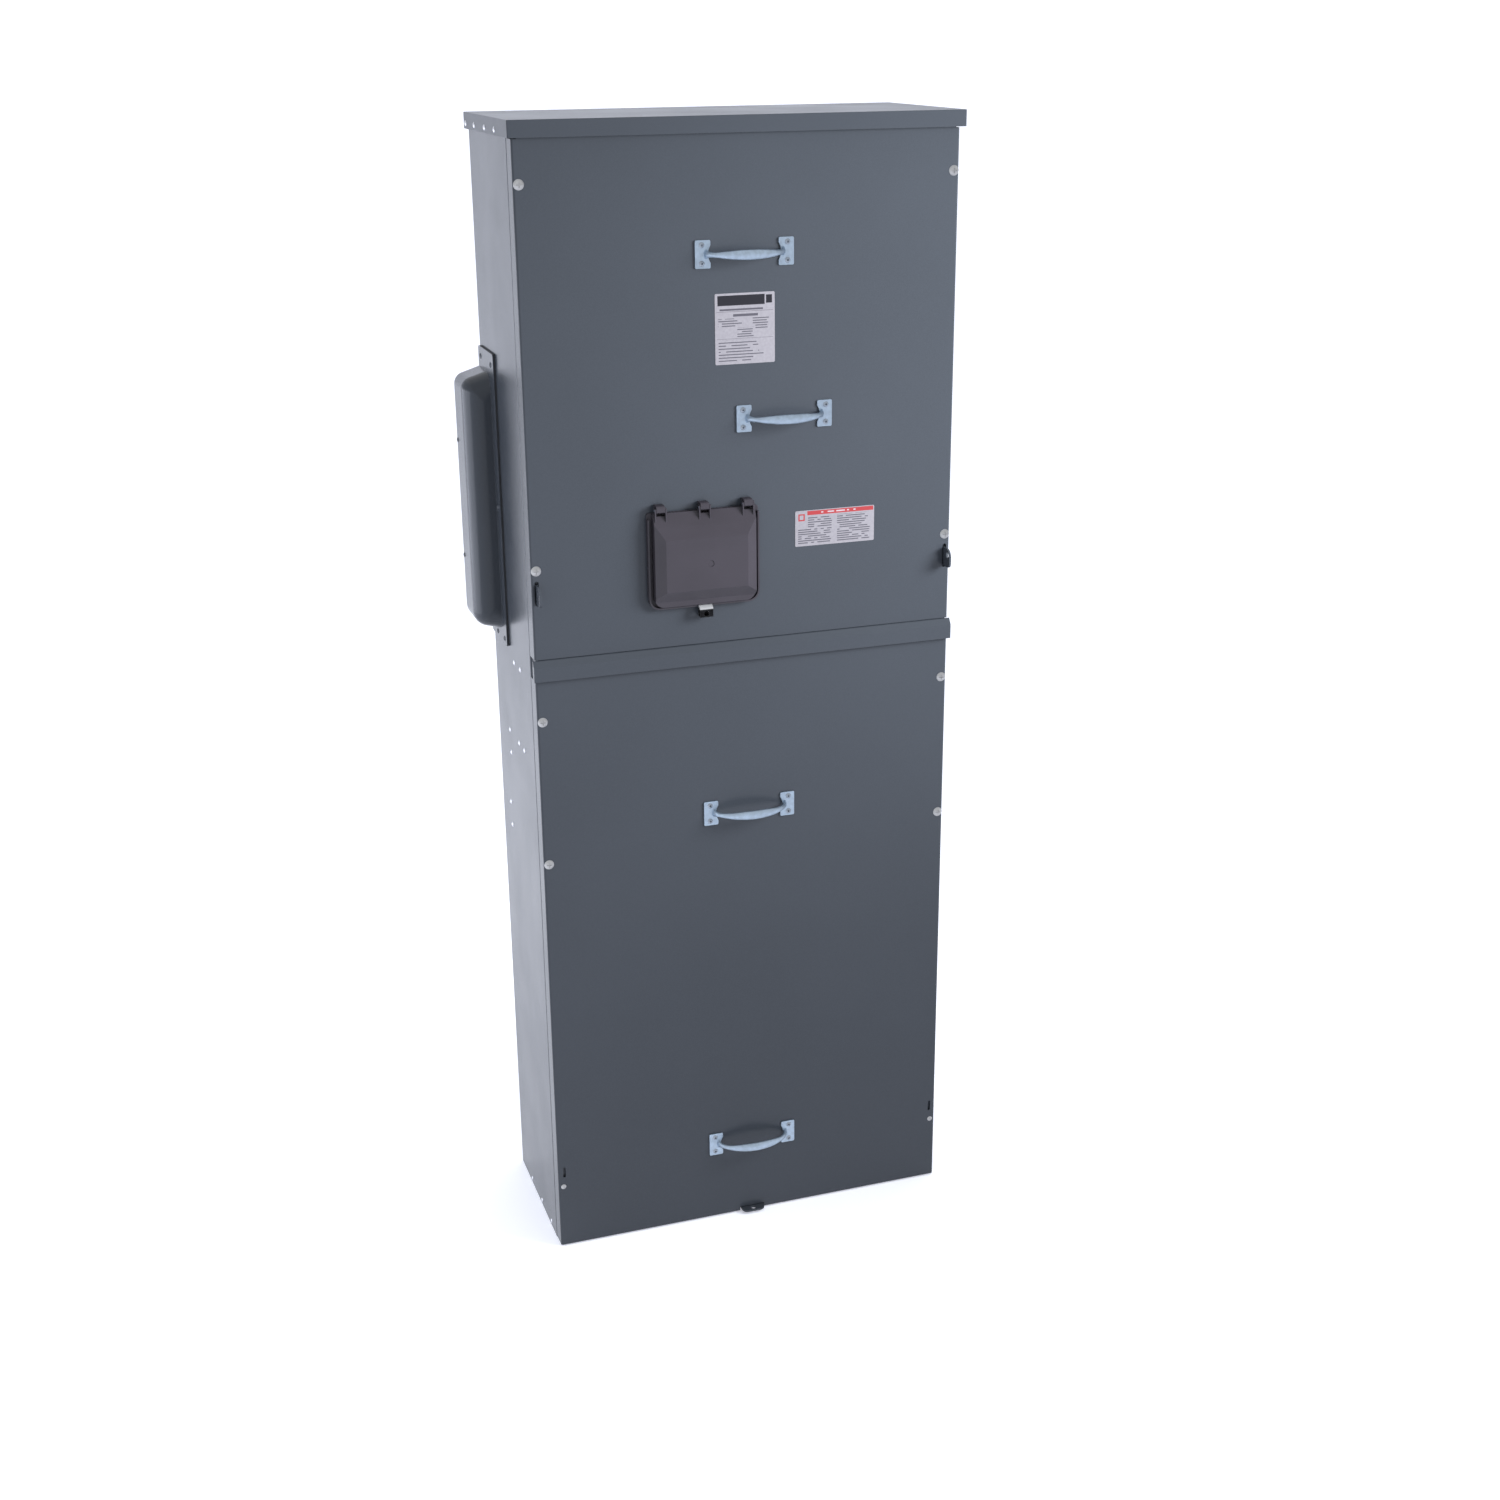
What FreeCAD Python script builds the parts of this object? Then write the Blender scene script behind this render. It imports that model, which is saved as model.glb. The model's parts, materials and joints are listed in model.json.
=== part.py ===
import FreeCAD, Part
import math
import os

# Floor-standing main service section with a breaker, a cross bus and a cable pull space.
# Millimetres. +X is to the right, +Y is to the back, +Z is up. The origin is on the floor,
# midway between the side walls and midway between the cover face and the back.

os.makedirs("parts", exist_ok=True)
Vector = FreeCAD.Vector

# ---------------------------------------------------------------- driving dimensions
WIDTH = 648.0                    # over the side walls and over the covers
DEPTH = 278.0                    # cover face to back panel
HEIGHT = 1730.0                  # floor to the top of the drip cap
HALF = WIDTH / 2
FRONT = -DEPTH / 2               # plane of the cover faces
BACK = DEPTH / 2

SHEET = 2.0                      # box steel
COVER_SHEET = 1.6                # cover steel
BEND = 1.4                       # inside bend radius
FLANGE_FACE = FRONT + 4.0        # front face of the box's front flange
FLANGE_WIDTH = 25.0
JOGGLE = 3.0                     # side walls step in by this behind the covers' side returns
RETURN_DEPTH = 28.0              # covers' side returns
JOGGLE_START = FRONT + RETURN_DEPTH + 2.5
JOGGLE_RUN = 2.0
PANEL_TOP = HEIGHT - 2 * SHEET
WALL_IN = HALF - SHEET           # inner face of the side walls
JOGGLE_IN = HALF - JOGGLE - SHEET

CAP_DROP = 23.0                  # height of the cap's turned-down flange
CAP_FRONT_PROUD = 8.0
CAP_SIDE_PROUD = 6.5
CAP_BOTTOM = HEIGHT - CAP_DROP
CAP_EDGE = 1.2                   # outside radius of the cap's tight folds

RAIL_FRONT = FRONT - 7.0
RAIL_BOTTOM = 953.5
RAIL_SHOULDER = 975.0
RAIL_BROW = (FRONT - 1.2, 983.9)   # where the sloped top turns level
RAIL_HEEL = 984.4                # where the level part meets the upstand
RAIL_TOP = 1004.0
RAIL_HALF = HALF + 3.0

UPPER_HINGE_Z = 1705.0           # tuck of the upper cover behind the cap
LOWER_HINGE_Z = 952.0            # tuck of the lower cover behind the drip rail
UPPER_BOTTOM = 985.1
LOWER_BOTTOM = 3.0
TONGUE_HALF = HALF - 7.0
TONGUE = 14.0                    # height of the tuck above the hinge line

SIDE_FOOT_Y = (JOGGLE_START + 4, BACK - 23)   # feet of the floor and of the shelf on the walls
SIDE_FOOT = 6.0                  # width of those feet under the sheet
ENDWALL_RISE = (30.0, 8.0)       # top of the floor's front edge, height of its step
ENDWALL_FOOT = 18.0
HEADER_FACE = FRONT + 17.0
HEADER_BOTTOM = 1665.0
HEADER_LIPS = (22.0, 20.0)       # depth of its upper and lower lips
BACK_FLANGE = 22.0               # depth of the back sheet's forward flanges

SCREW_INSET = 8.0
UPPER_SCREW_Z = (1647.0, 1117.0)
LOWER_SCREW_Z = (890.0, 665.0)
SEAL_SCREW_Z = 109.5
COVER_SCREW_HEAD = 7.4
SEAL_SCREW_HEAD = 4.2
SHANK = 3.0
SHANK_HOLE = 3.6

HASP_X = HALF - SCREW_INSET
HASP_SPAN = (1068.5, 1097.0)
HASP_HOLE_Z = 1087.5
HASP_HOLE = 4.65
HASP_REACH = 23.0
HASP_THICK = 3.0
TAB_HALF = 19.0                  # bottom seal tab
TAB_REACH = 13.0
TAB_HOLE = 4.0
CORNER_SLOT = (126.0, 144.0)
RATING_LABEL = ((-44.5, 44.5), (1392.0, 1491.0))
NOTICE_LABEL = ((75.3, 200.3), (1118.0, 1171.5))

HANDLE_LENGTH = 145.5
PLATE_WIDTH = 22.5
PLATE_HEIGHT = 38.5
PLATE_THICK = 2.4
HANDLE_RISE = 30.0
GRIP_INSET = 6.5                 # how far the grip's ends reach into the end plates
GRIP_STATIONS = ((0, 7.5, 3.4), (12, 4.8, 3.0), (30, 3.7, 2.8), (55, 5.3, 3.5), (90, 7.0, 4.3))
SCOOP_RADIUS = 22.3              # hollow inner edge of each end plate
SCOOP_DEPTH = 3.5
HANDLE_RIVET_X = 63.2
HANDLE_RIVET_Z = 12.5
HANDLES = {
    "upper_handle_top": (0.0, 1546.0),
    "upper_handle_bottom": (58.4, 1314.0),
    "lower_handle_top": (0.0, 714.0),
    "lower_handle_bottom": (0.0, 137.0),
}

DOOR_X = -68.0                   # breaker, its door and its toggle share this centre line
DOOR_Z = 1117.0
WINDOW_HALF = (58.0, 52.0)
FRAME_HALF = 84.5
FRAME_Z = (DOOR_Z - 72.5, DOOR_Z + 70.5)
FRAME_BASE = 2.5
FRAME_CORNER = 17.0              # radius of the frame's lower corners
RIM_FRONT = FRONT - 9.0
RIM_WALL = 2.6
RIM_TOP = DOOR_Z + 62.0
LID_HALF = 77.0
LID_TOP = DOOR_Z + 70.5
LID_BOTTOM = DOOR_Z - 68.5
LID_WALL = 2.5
LID_BACK = FRONT - 4.5
LID_PANEL = FRONT - 24.5         # raised panel of the lid
LID_RIDGE = (FRONT - 19.0, LID_TOP - 18.8)
LID_PANEL_Z = (LID_BOTTOM + 24.5, LID_TOP - 37.5)
LID_LIP = (FRONT - 13.0, LID_BOTTOM + 7.5)
LID_BEVEL = (15.5, 7.6)          # run and rise of the lid's side bevels
LID_DIMPLE = (DOOR_X + 5.0, DOOR_Z - 5.6)
LUG_SPACING = 66.1
LUG_X = (DOOR_X - LUG_SPACING, DOOR_X, DOOR_X + LUG_SPACING)
LUG_WIDTH = 13.0
LUG_Z_SPAN = (DOOR_Z + 72.5, DOOR_Z + 82.5)
EAR_GAP = 0.5
EAR_THICK = 2.0
PIN_RADIUS = 1.5
PIN_COVER = 3.6                  # lug material in front of the pin's axis
PIN_BORE = 1.55
DOOR_AXIS = (FRONT - 12.0, DOOR_Z + 76.0)
DOOR_HASP_HALF = 10.2
DOOR_HASP_SHEET = 1.6
DOOR_HASP_FACE = FRONT - 16.0    # front of the hasp's drilled plate
DOOR_HASP_BOTTOM = 1029.0
DOOR_HASP_HOLE_Z = 1034.4
DOOR_HASP_HOLE = 4.2
DOOR_RIVETS = tuple((DOOR_X + dx, FRONT - 6.7) for dx in (-6.0, 6.0))
STAPLE_HALF = 8.0
STAPLE_SHEET = 2.0
STAPLE_FACE = FRONT - 13.7       # front of the staple, just behind the hasp
STAPLE_HOLE = 4.0

PHASE_X = (DOOR_X - 70.0, DOOR_X, DOOR_X + 70.0)
PHASES = ("a", "b", "c")
BREAKER_HALF_WIDTH = 105.0
BREAKER_Z = (955.0, 1279.0)
BREAKER_Y = (FRONT + 21.0, FRONT + 79.0, 40.0)   # cover front, split, back
ESCUTCHEON_FRONT = FRONT + 7.0
ESCUTCHEON_HALF = (54.0, 48.0)
TERMINAL_WELL = 39.0             # depth of the wells at both ends of the breaker
UPPER_TERMINAL_Z = BREAKER_Z[1] - 7
LOWER_TERMINAL_Z = BREAKER_Z[0] + 10
TOGGLE_AXIS_Y = FRONT + 54.0
TOGGLE_DRUM = 25.0
TOGGLE_DRUM_HALF = 22.0
TOGGLE_PIN = 4.0
TOGGLE_PIN_HALF = 28.0
TOGGLE_ON = 18.0                 # degrees above level in the ON position
TOGGLE_TIP = 71.0
TRIP_X = DOOR_X + 40.0
TRIP_Z = DOOR_Z - 34.0
TRIP_UNIT_X = (DOOR_X - 80.0, DOOR_X + 80.0)
TRIP_UNIT_Z = (1001.0, 1052.0)
DIAL_X = {"pickup_dial": DOOR_X - 40.0, "instantaneous_dial": DOOR_X + 10.0}
DIAL_Z = 1027.0
DIAL_RADIUS = 9.0
BREAKER_SCREWS = tuple((DOOR_X + dx, z) for dx in (-95.0, 95.0) for z in (1062.0, 1172.0))

BAR_THICK = 6.35
BAR_FACE = 85.0                  # front face of the cross bus
BAR_HALF = 25.0
BAR_Z = {"a": 1320.0, "b": 1225.0, "c": 1130.0, "neutral": 1035.0}
BAR_X = (-358.0, 300.0)
STRAP_THICK = 6.0
STRAP_HALF = 20.0
STRAP_FRONT = -10.0
STRAP_TOP = 1352.0
SUPPORT_X = 272.0
SUPPORT_HALF = 13.0
SUPPORT_Z = (985.0, 1362.0)
SUPPORT_PROUD = 9.0              # how far the posts reach in front of the bars
BOLT_M8 = (13.0, 5.5, 4.0)       # across flats, head height, shank radius
BOLT_M10 = (16.0, 6.5, 5.0)
BOLT_HOLE = 5.4

SHELF_Z = 947.0
SHELF_FRONT = FRONT + 21.0
SHELF_LIP = 22.0
PAN_FACE = 42.0
PAN_SHEET = 2.5
PAN_X = (DOOR_X - 126.0, DOOR_X + 126.0)
PAN_Z = (958.0, 1290.0)
PAN_POSTS = tuple((DOOR_X + dx, z) for dx in (-115.0, 115.0) for z in (984.0, 1272.0))
CHANNEL_Z = (768.0, 822.0)
CHANNEL_MID = sum(CHANNEL_Z) / 2
CHANNEL_FACE = 30.0
CHANNEL_BACK = 62.0
CHANNEL_END_Y = (-46.0, 68.0)    # its deep end plates
RISER_X = 235.0
LUG_BORE = 11.0
LUG_Z = (668.0, 728.0)
LUG_BOLT_Z = LUG_Z[1] + 13
LUG_DEPTH = 36.0
LUG_HALF = 17.0
TANG_HALF = 14.0
TANG_THICK = 7.0
TANG_RISE = 26.0
RISER_STANDOFF_Z = 850.0
GROUND_X = (-WALL_IN + 5, -WALL_IN + 18)
GROUND_Y = 79.5
GROUND_Z = (600.0, 736.0)

HOOD_OUT = -366.5
HOOD_GASKET = 2.0
HOOD_WALL = 1.6
HOOD_FLANGE_FACE = -HALF - HOOD_GASKET - HOOD_WALL
HOOD_Y = (59.0, BACK - 2.0)
HOOD_Z = (984.0, 1355.0)         # corners of its outer side
HOOD_SLOPES = (11.0, 13.0)       # how far its underside and its top spread towards the wall
HOOD_CORNERS = (24.0, 17.0)
HOOD_SMALLEST_RADIUS = 2.0
HOOD_RINGS = 7                   # sections of the large rounding at its front
HOOD_FRONT_RADIUS = 29.0
HOOD_RIVETS = ((132.0, 1259.0), (132.0, 1081.0))
HOOD_FLANGE_Y = (34.0, BACK - 2.0)
HOOD_FLANGE_Z = (957.0, 1398.0)
HOOD_SCREWS = ((51.5, 1381.0), (121.0, 1384.0), (49.0, 1170.0), (49.0, 966.0), (97.0, 965.0))
BUS_OPENING = ((61.0, 119.0), (990.0, 1360.0))
GASKET_WINDOW = ((60.0, 120.0), (982.0, 1362.0))

SHELF_RIVETS = ((5.0, 940.0), (-36.0, 941.0))
CHANNEL_RIVETS = ((60.0, 815.0), (-4.0, 814.0), (-39.0, 813.5), (58.0, 778.0))
GROUND_RIVETS = ((81.0, 687.0), (78.0, 649.0))
BASE_RIVETS = ((64.0, 7.5), (-7.0, 7.5), (-73.0, 7.5))
CAP_RIVETS = ((126.0, 1714.5), (67.0, 1714.5), (-3.0, 1714.5), (-67.0, 1714.5))
RIVET_HEAD = 4.2
RIVET_SHANK = 2.0
RIVET_HOLE = 2.2

CONDUIT_X = 100.0                # centres of the two conduit openings in the floor
CONDUIT_HALF_X = 84.0
CONDUIT_Y = (-60.0, 100.0)
GLAND_PLATE_X = (-218.0, 218.0)
GLAND_PLATE_Y = (-78.0, 118.0)
GLAND_SCREWS = tuple((x, y) for x in (-209.0, 0.0, 209.0) for y in (-69.0, 109.0))
PANEL_SCREW_HEAD = 4.6           # screws of the gland plate and of the hood
PANEL_SCREW_SHANK = 2.4
PANEL_SCREW_HOLE = 2.7
WALL_HOLE = 5.5
WALL_HOLES_X = 250.0
WALL_HOLES_Z = (120.0, 1620.0)


# ---------------------------------------------------------------- general helpers
def save(name, shapes):
    """Write one node; a list of solids becomes one compound."""
    shape = Part.makeCompound(shapes) if isinstance(shapes, list) else shapes
    shape.exportStep(f"parts/{name}.step")


def box(x, y, z):
    """Block between the (low, high) pairs x, y and z."""
    return Part.makeBox(x[1] - x[0], y[1] - y[0], z[1] - z[0], Vector(x[0], y[0], z[0]))


def around(centre, half):
    """The (low, high) pair that reaches half each way from centre."""
    return (centre - half, centre + half)


def rod(start, axis, radius, length):
    """Cylinder from start along axis."""
    return Part.makeCylinder(radius, length, Vector(*start), Vector(*axis))


def fuse(shapes):
    """Join touching or overlapping solids into one."""
    return shapes[0].fuse(shapes[1:]).removeSplitter()


def mirrored(shape):
    """Copy of a shape on the other side of the middle plane."""
    return shape.mirror(Vector(0, 0, 0), Vector(1, 0, 0))


def rounded_edges(corners):
    """Edges of a closed outline; a corner's third value is its radius."""
    pieces = []
    count = len(corners)
    for index, corner in enumerate(corners):
        here = Vector(corner[0], corner[1], 0)
        radius = corner[2] if len(corner) > 2 else 0
        if radius == 0:
            pieces.append((here,))
            continue
        before = Vector(*corners[index - 1][:2], 0)
        after = Vector(*corners[(index + 1) % count][:2], 0)
        to_before = (before - here).normalize()
        to_after = (after - here).normalize()
        half_angle = to_before.getAngle(to_after) / 2
        reach = radius / math.tan(half_angle)
        bisector = (to_before + to_after).normalize()
        middle = here + bisector * (radius / math.sin(half_angle) - radius)
        pieces.append((here + to_before * reach, middle, here + to_after * reach))
    edges = []
    for index, piece in enumerate(pieces):
        following = pieces[(index + 1) % count]
        if len(piece) == 3:
            edges.append(Part.Arc(*piece).toShape())
        if (piece[-1] - following[0]).Length > 1e-6:
            edges.append(Part.makeLine(piece[-1], following[0]))
    return edges


def prism(corners, plane, span):
    """Solid with the outline in plane xy, xz or yz, reaching over span on the third axis."""
    turns = {
        "xy": FreeCAD.Rotation(),
        "xz": FreeCAD.Rotation(Vector(1, 0, 0), 90),
        "yz": FreeCAD.Rotation(Vector(1, 1, 1), 120),
    }
    pushes = {"xy": Vector(0, 0, 1), "xz": Vector(0, 1, 0), "yz": Vector(1, 0, 0)}
    face = Part.Face(Part.Wire(Part.__sortEdges__(rounded_edges(corners))))
    face.Placement = FreeCAD.Placement(pushes[plane] * span[0], turns[plane])
    return face.extrude(pushes[plane] * (span[1] - span[0]))


def strip(points, thickness, radius=BEND):
    """Outline of a bent sheet whose metal lies to the left of the line of points."""
    directions = []
    for start, end in zip(points, points[1:]):
        length = math.hypot(end[0] - start[0], end[1] - start[1])
        directions.append(((end[0] - start[0]) / length, (end[1] - start[1]) / length))
    given = []
    shifted = []
    for index, point in enumerate(points):
        before = directions[max(index - 1, 0)]
        after = directions[min(index, len(directions) - 1)]
        scale = thickness / (1 + before[0] * after[0] + before[1] * after[1])
        offset = (-(before[1] + after[1]) * scale, (before[0] + after[0]) * scale)
        turn = before[0] * after[1] - before[1] * after[0]
        near = radius + thickness if turn > 0 else radius
        far = radius if turn > 0 else radius + thickness
        if abs(turn) < 1e-9:
            near = far = 0
        given.append((point[0], point[1], near))
        shifted.append((point[0] + offset[0], point[1] + offset[1], far))
    return given + shifted[::-1]


def fillet_where(shape, radius, chosen):
    """Round the edges whose middle point passes the test."""
    edges = [edge for edge in shape.Edges if chosen(edge.CenterOfMass)]
    return shape.makeFillet(radius, edges)


def plate(x, y, z, radius, plane="xz"):
    """Flat block with rounded corners in the given plane."""
    spans = {"xz": (x, z, y), "xy": (x, y, z), "yz": (y, z, x)}
    wide, tall, thick = spans[plane]
    corners = [(wide[0], tall[0], radius), (wide[1], tall[0], radius),
               (wide[1], tall[1], radius), (wide[0], tall[1], radius)]
    return prism(corners, plane, thick)


def place(shape, position, direction):
    """Turn a shape made along +Z to point along direction, and move it to position."""
    shape.Placement = FreeCAD.Placement(Vector(*position),
                                        FreeCAD.Rotation(Vector(0, 0, 1), Vector(*direction)))
    return shape


def dome(radius, height):
    """Low round head standing on the plane z = 0."""
    sphere = (radius * radius + height * height) / (2 * height)
    angle = math.asin(radius / sphere) / 2
    middle = Vector(sphere * math.sin(angle), 0, sphere * math.cos(angle) - sphere + height)
    arc = Part.Arc(Vector(radius, 0, 0), middle, Vector(0, 0, height)).toShape()
    base = Part.makeLine(Vector(0, 0, 0), Vector(radius, 0, 0))
    post = Part.makeLine(Vector(0, 0, height), Vector(0, 0, 0))
    return Part.Face(Part.Wire([base, arc, post])).revolve(Vector(0, 0, 0), Vector(0, 0, 1), 360)


def screw(position, direction, head, shank, length):
    """Round-head screw with a cross recess; its head points along direction."""
    head_height = head * 0.36
    body = dome(head, head_height).fuse(rod((0, 0, -length), (0, 0, 1), shank, length))
    arm = head * 0.52
    slot = head * 0.09
    recess = box((-arm, arm), (-slot, slot), (head_height * 0.4, head_height + 1))
    crossing = box((-slot, slot), (-arm, arm), (head_height * 0.4, head_height + 1))
    return place(body.cut([recess, crossing]).removeSplitter(), position, direction)


def hex_bolt(position, direction, across, head_height, shank, length):
    """Hexagon-head bolt; its head points along direction."""
    corner = across / math.sqrt(3)
    corners = [(corner * math.cos(math.radians(60 * k)), corner * math.sin(math.radians(60 * k)))
               for k in range(6)]
    head = prism(corners, "xy", (0, head_height))
    return place(head.fuse(rod((0, 0, -length), (0, 0, 1), shank, length)).removeSplitter(),
                 position, direction)


def rivet(position, direction, length):
    """Solid round-head rivet."""
    body = dome(RIVET_HEAD, 1.7).fuse(rod((0, 0, -length), (0, 0, 1), RIVET_SHANK, length))
    return place(body.removeSplitter(), position, direction)


def cross_holes(points, side, depth):
    """Rivet holes through one side wall (side is -1 or +1) and what is riveted to it."""
    start = side * (HALF + 12)
    return [rod((start, y, z), (-side, 0, 0), RIVET_HOLE, 12 + depth) for y, z in points]


# ---------------------------------------------------------------- box
def side_panel(side):
    """Side wall with the joggled front edge and the front flange."""
    points = [(-HALF, BACK), (-HALF, JOGGLE_START), (-HALF + JOGGLE, JOGGLE_START - JOGGLE_RUN),
              (-HALF + JOGGLE, FLANGE_FACE), (-HALF + FLANGE_WIDTH + JOGGLE, FLANGE_FACE)]
    corners = strip(points, SHEET)
    panel = prism(corners, "xy", (0, PANEL_TOP))
    flange = (FLANGE_FACE - 1, FLANGE_FACE + SHEET + 0.1)
    windows = [(-1, 7), (LOWER_HINGE_Z - 6, RAIL_SHOULDER - 1), (UPPER_HINGE_Z - 5, HEIGHT)]
    cuts = [box((-JOGGLE_IN, -HALF + 40), flange, window) for window in windows]
    for z in UPPER_SCREW_Z + LOWER_SCREW_Z + (SEAL_SCREW_Z,):
        cuts.append(rod((-HASP_X, FLANGE_FACE - 1, z), (0, 1, 0), SHANK_HOLE, SHEET + 2))
    cuts.append(box(around(-HASP_X, HASP_THICK / 2 + 0.4), flange,
                    (HASP_SPAN[0] - 0.5, HASP_SPAN[1] + 0.5)))
    rivets = SHELF_RIVETS + CHANNEL_RIVETS + BASE_RIVETS + CAP_RIVETS
    if side < 0:
        cuts.append(box((-HALF - 1, -WALL_IN + 1), *BUS_OPENING))
        cuts.extend(rod((-HALF - 1, y, z), (1, 0, 0), PANEL_SCREW_HOLE, SHEET + 2)
                    for y, z in HOOD_SCREWS)
        rivets = rivets + GROUND_RIVETS
    cuts.extend(cross_holes(rivets, -1, 3 * SHEET))
    panel = panel.cut(cuts)
    return panel if side < 0 else mirrored(panel)


def back_panel():
    """Back sheet with its two forward side flanges, its top flange and the wall-fixing holes."""
    points = [(WALL_IN, BACK - BACK_FLANGE), (WALL_IN, BACK), (-WALL_IN, BACK),
              (-WALL_IN, BACK - BACK_FLANGE)]
    sheet = prism(strip(points, SHEET), "xy", (SHEET + 0.2, PANEL_TOP))
    lip = box((-WALL_IN + 4, WALL_IN - 4), (BACK - 20, BACK - 1), (PANEL_TOP - SHEET, PANEL_TOP))
    clear = box((-HALF, HALF), (BACK - 30, BACK - SHEET), (0, 20))
    cuts = [clear]
    for x in (-WALL_HOLES_X, WALL_HOLES_X):
        for z in WALL_HOLES_Z:
            cuts.append(rod((x, BACK - 5, z), (0, 1, 0), WALL_HOLE, 10))
    cuts += cross_holes(CAP_RIVETS, -1, 3 * SHEET) + cross_holes(CAP_RIVETS, 1, 3 * SHEET)
    return fuse([sheet, lip]).cut(cuts)


def bottom_endwall():
    """Floor pan with a raised, joggled front edge and two conduit openings."""
    top, step = ENDWALL_RISE
    points = [(FLANGE_FACE, top), (FLANGE_FACE, step), (JOGGLE_START, step), (JOGGLE_START, 0),
              (BACK - SHEET - 0.2, 0)]
    middle = prism(strip(points, SHEET), "yz", around(0, JOGGLE_IN - 0.2))
    pieces = [middle]
    for side in (-1, 1):
        low, high = sorted((side * (WALL_IN - SIDE_FOOT), side * WALL_IN))
        pieces.append(box((low, high), SIDE_FOOT_Y, (0, SHEET)))
        low, high = sorted((side * (WALL_IN - SHEET), side * WALL_IN))
        pieces.append(box((low, high), SIDE_FOOT_Y, (0, ENDWALL_FOOT)))
    pan = fuse(pieces)
    cuts = [plate(around(x, CONDUIT_HALF_X), CONDUIT_Y, (-1, SHEET + 1), 6, "xy")
            for x in (-CONDUIT_X, CONDUIT_X)]
    side_flange = HALF - FLANGE_WIDTH - JOGGLE - 0.2
    for side in (-1, 1):
        low, high = sorted((side * side_flange, side * HALF))
        cuts.append(box((low, high), (FLANGE_FACE - 1, FLANGE_FACE + SHEET + 0.8),
                        (step - 0.1, top + 1)))
    cuts.extend(rod((x, y, -1), (0, 0, 1), PANEL_SCREW_HOLE, 5) for x, y in GLAND_SCREWS)
    cuts.extend(cross_holes(BASE_RIVETS, -1, 3 * SHEET))
    cuts.extend(cross_holes(BASE_RIVETS, 1, 3 * SHEET))
    return pan.cut(cuts)


def gland_plate():
    """Removable plate over the conduit openings."""
    cover = plate(GLAND_PLATE_X, GLAND_PLATE_Y, (SHEET, 2 * SHEET), 6, "xy")
    holes = [rod((x, y, 0), (0, 0, 1), PANEL_SCREW_HOLE, 8) for x, y in GLAND_SCREWS]
    return cover.cut(holes)


def top_cap():
    """Drip cap: flat top with a turned-down flange on the front and both sides."""
    side_x = HALF + CAP_SIDE_PROUD
    front_y = FRONT - CAP_FRONT_PROUD
    outer = box(around(0, side_x), (front_y, BACK), (CAP_BOTTOM, HEIGHT))
    inner = box(around(0, side_x - SHEET), (front_y + SHEET, BACK + 5),
                (CAP_BOTTOM - 5, HEIGHT - SHEET))

    def folds(point):
        at_side = abs(abs(point.x) - side_x) < 0.01
        at_front = abs(point.y - front_y) < 0.01
        at_top = abs(point.z - HEIGHT) < 0.01
        return (at_side and at_front) or (at_top and (at_side or at_front))

    cap = fillet_where(outer, CAP_EDGE, folds).cut(inner)
    return cap.cut(cross_holes(CAP_RIVETS, -1, 3) + cross_holes(CAP_RIVETS, 1, 3))


def top_header():
    """Channel across the top of the opening, set back so that the upper cover's tuck can swing."""
    upper_lip, lower_lip = HEADER_LIPS
    points = [(HEADER_FACE + upper_lip, PANEL_TOP), (HEADER_FACE, PANEL_TOP),
              (HEADER_FACE, HEADER_BOTTOM), (HEADER_FACE + lower_lip, HEADER_BOTTOM)]
    return prism(strip(points, SHEET), "yz", around(0, JOGGLE_IN - 0.2))


def drip_rail():
    """Folded rain rail across the front, with its upstand behind the upper cover."""
    upstand = FRONT + 2.0
    points = [(upstand, RAIL_TOP), (upstand, RAIL_HEEL), RAIL_BROW, (RAIL_FRONT, RAIL_SHOULDER),
              (RAIL_FRONT, RAIL_BOTTOM)]
    rail = prism(strip(points, SHEET, 1.0), "yz", around(0, RAIL_HALF))
    trims = []
    ends = []
    for side in (-1, 1):
        low, high = sorted((side * (HALF - 4), side * (RAIL_HALF + 1)))
        trims.append(box((low, high), (upstand - 1.2, upstand + 5), (RAIL_BOTTOM, RAIL_TOP + 1)))
        low, high = sorted((side * (RAIL_HALF - SHEET), side * RAIL_HALF))
        gusset = [(RAIL_FRONT + 1, RAIL_BOTTOM), (upstand - 0.05, RAIL_BOTTOM),
                  (upstand - 0.05, RAIL_HEEL - 2.5), (RAIL_FRONT + 1, RAIL_SHOULDER - 1)]
        ends.append(prism(gusset, "yz", (low, high)))
    return fuse([rail.cut(trims)] + ends)


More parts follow.
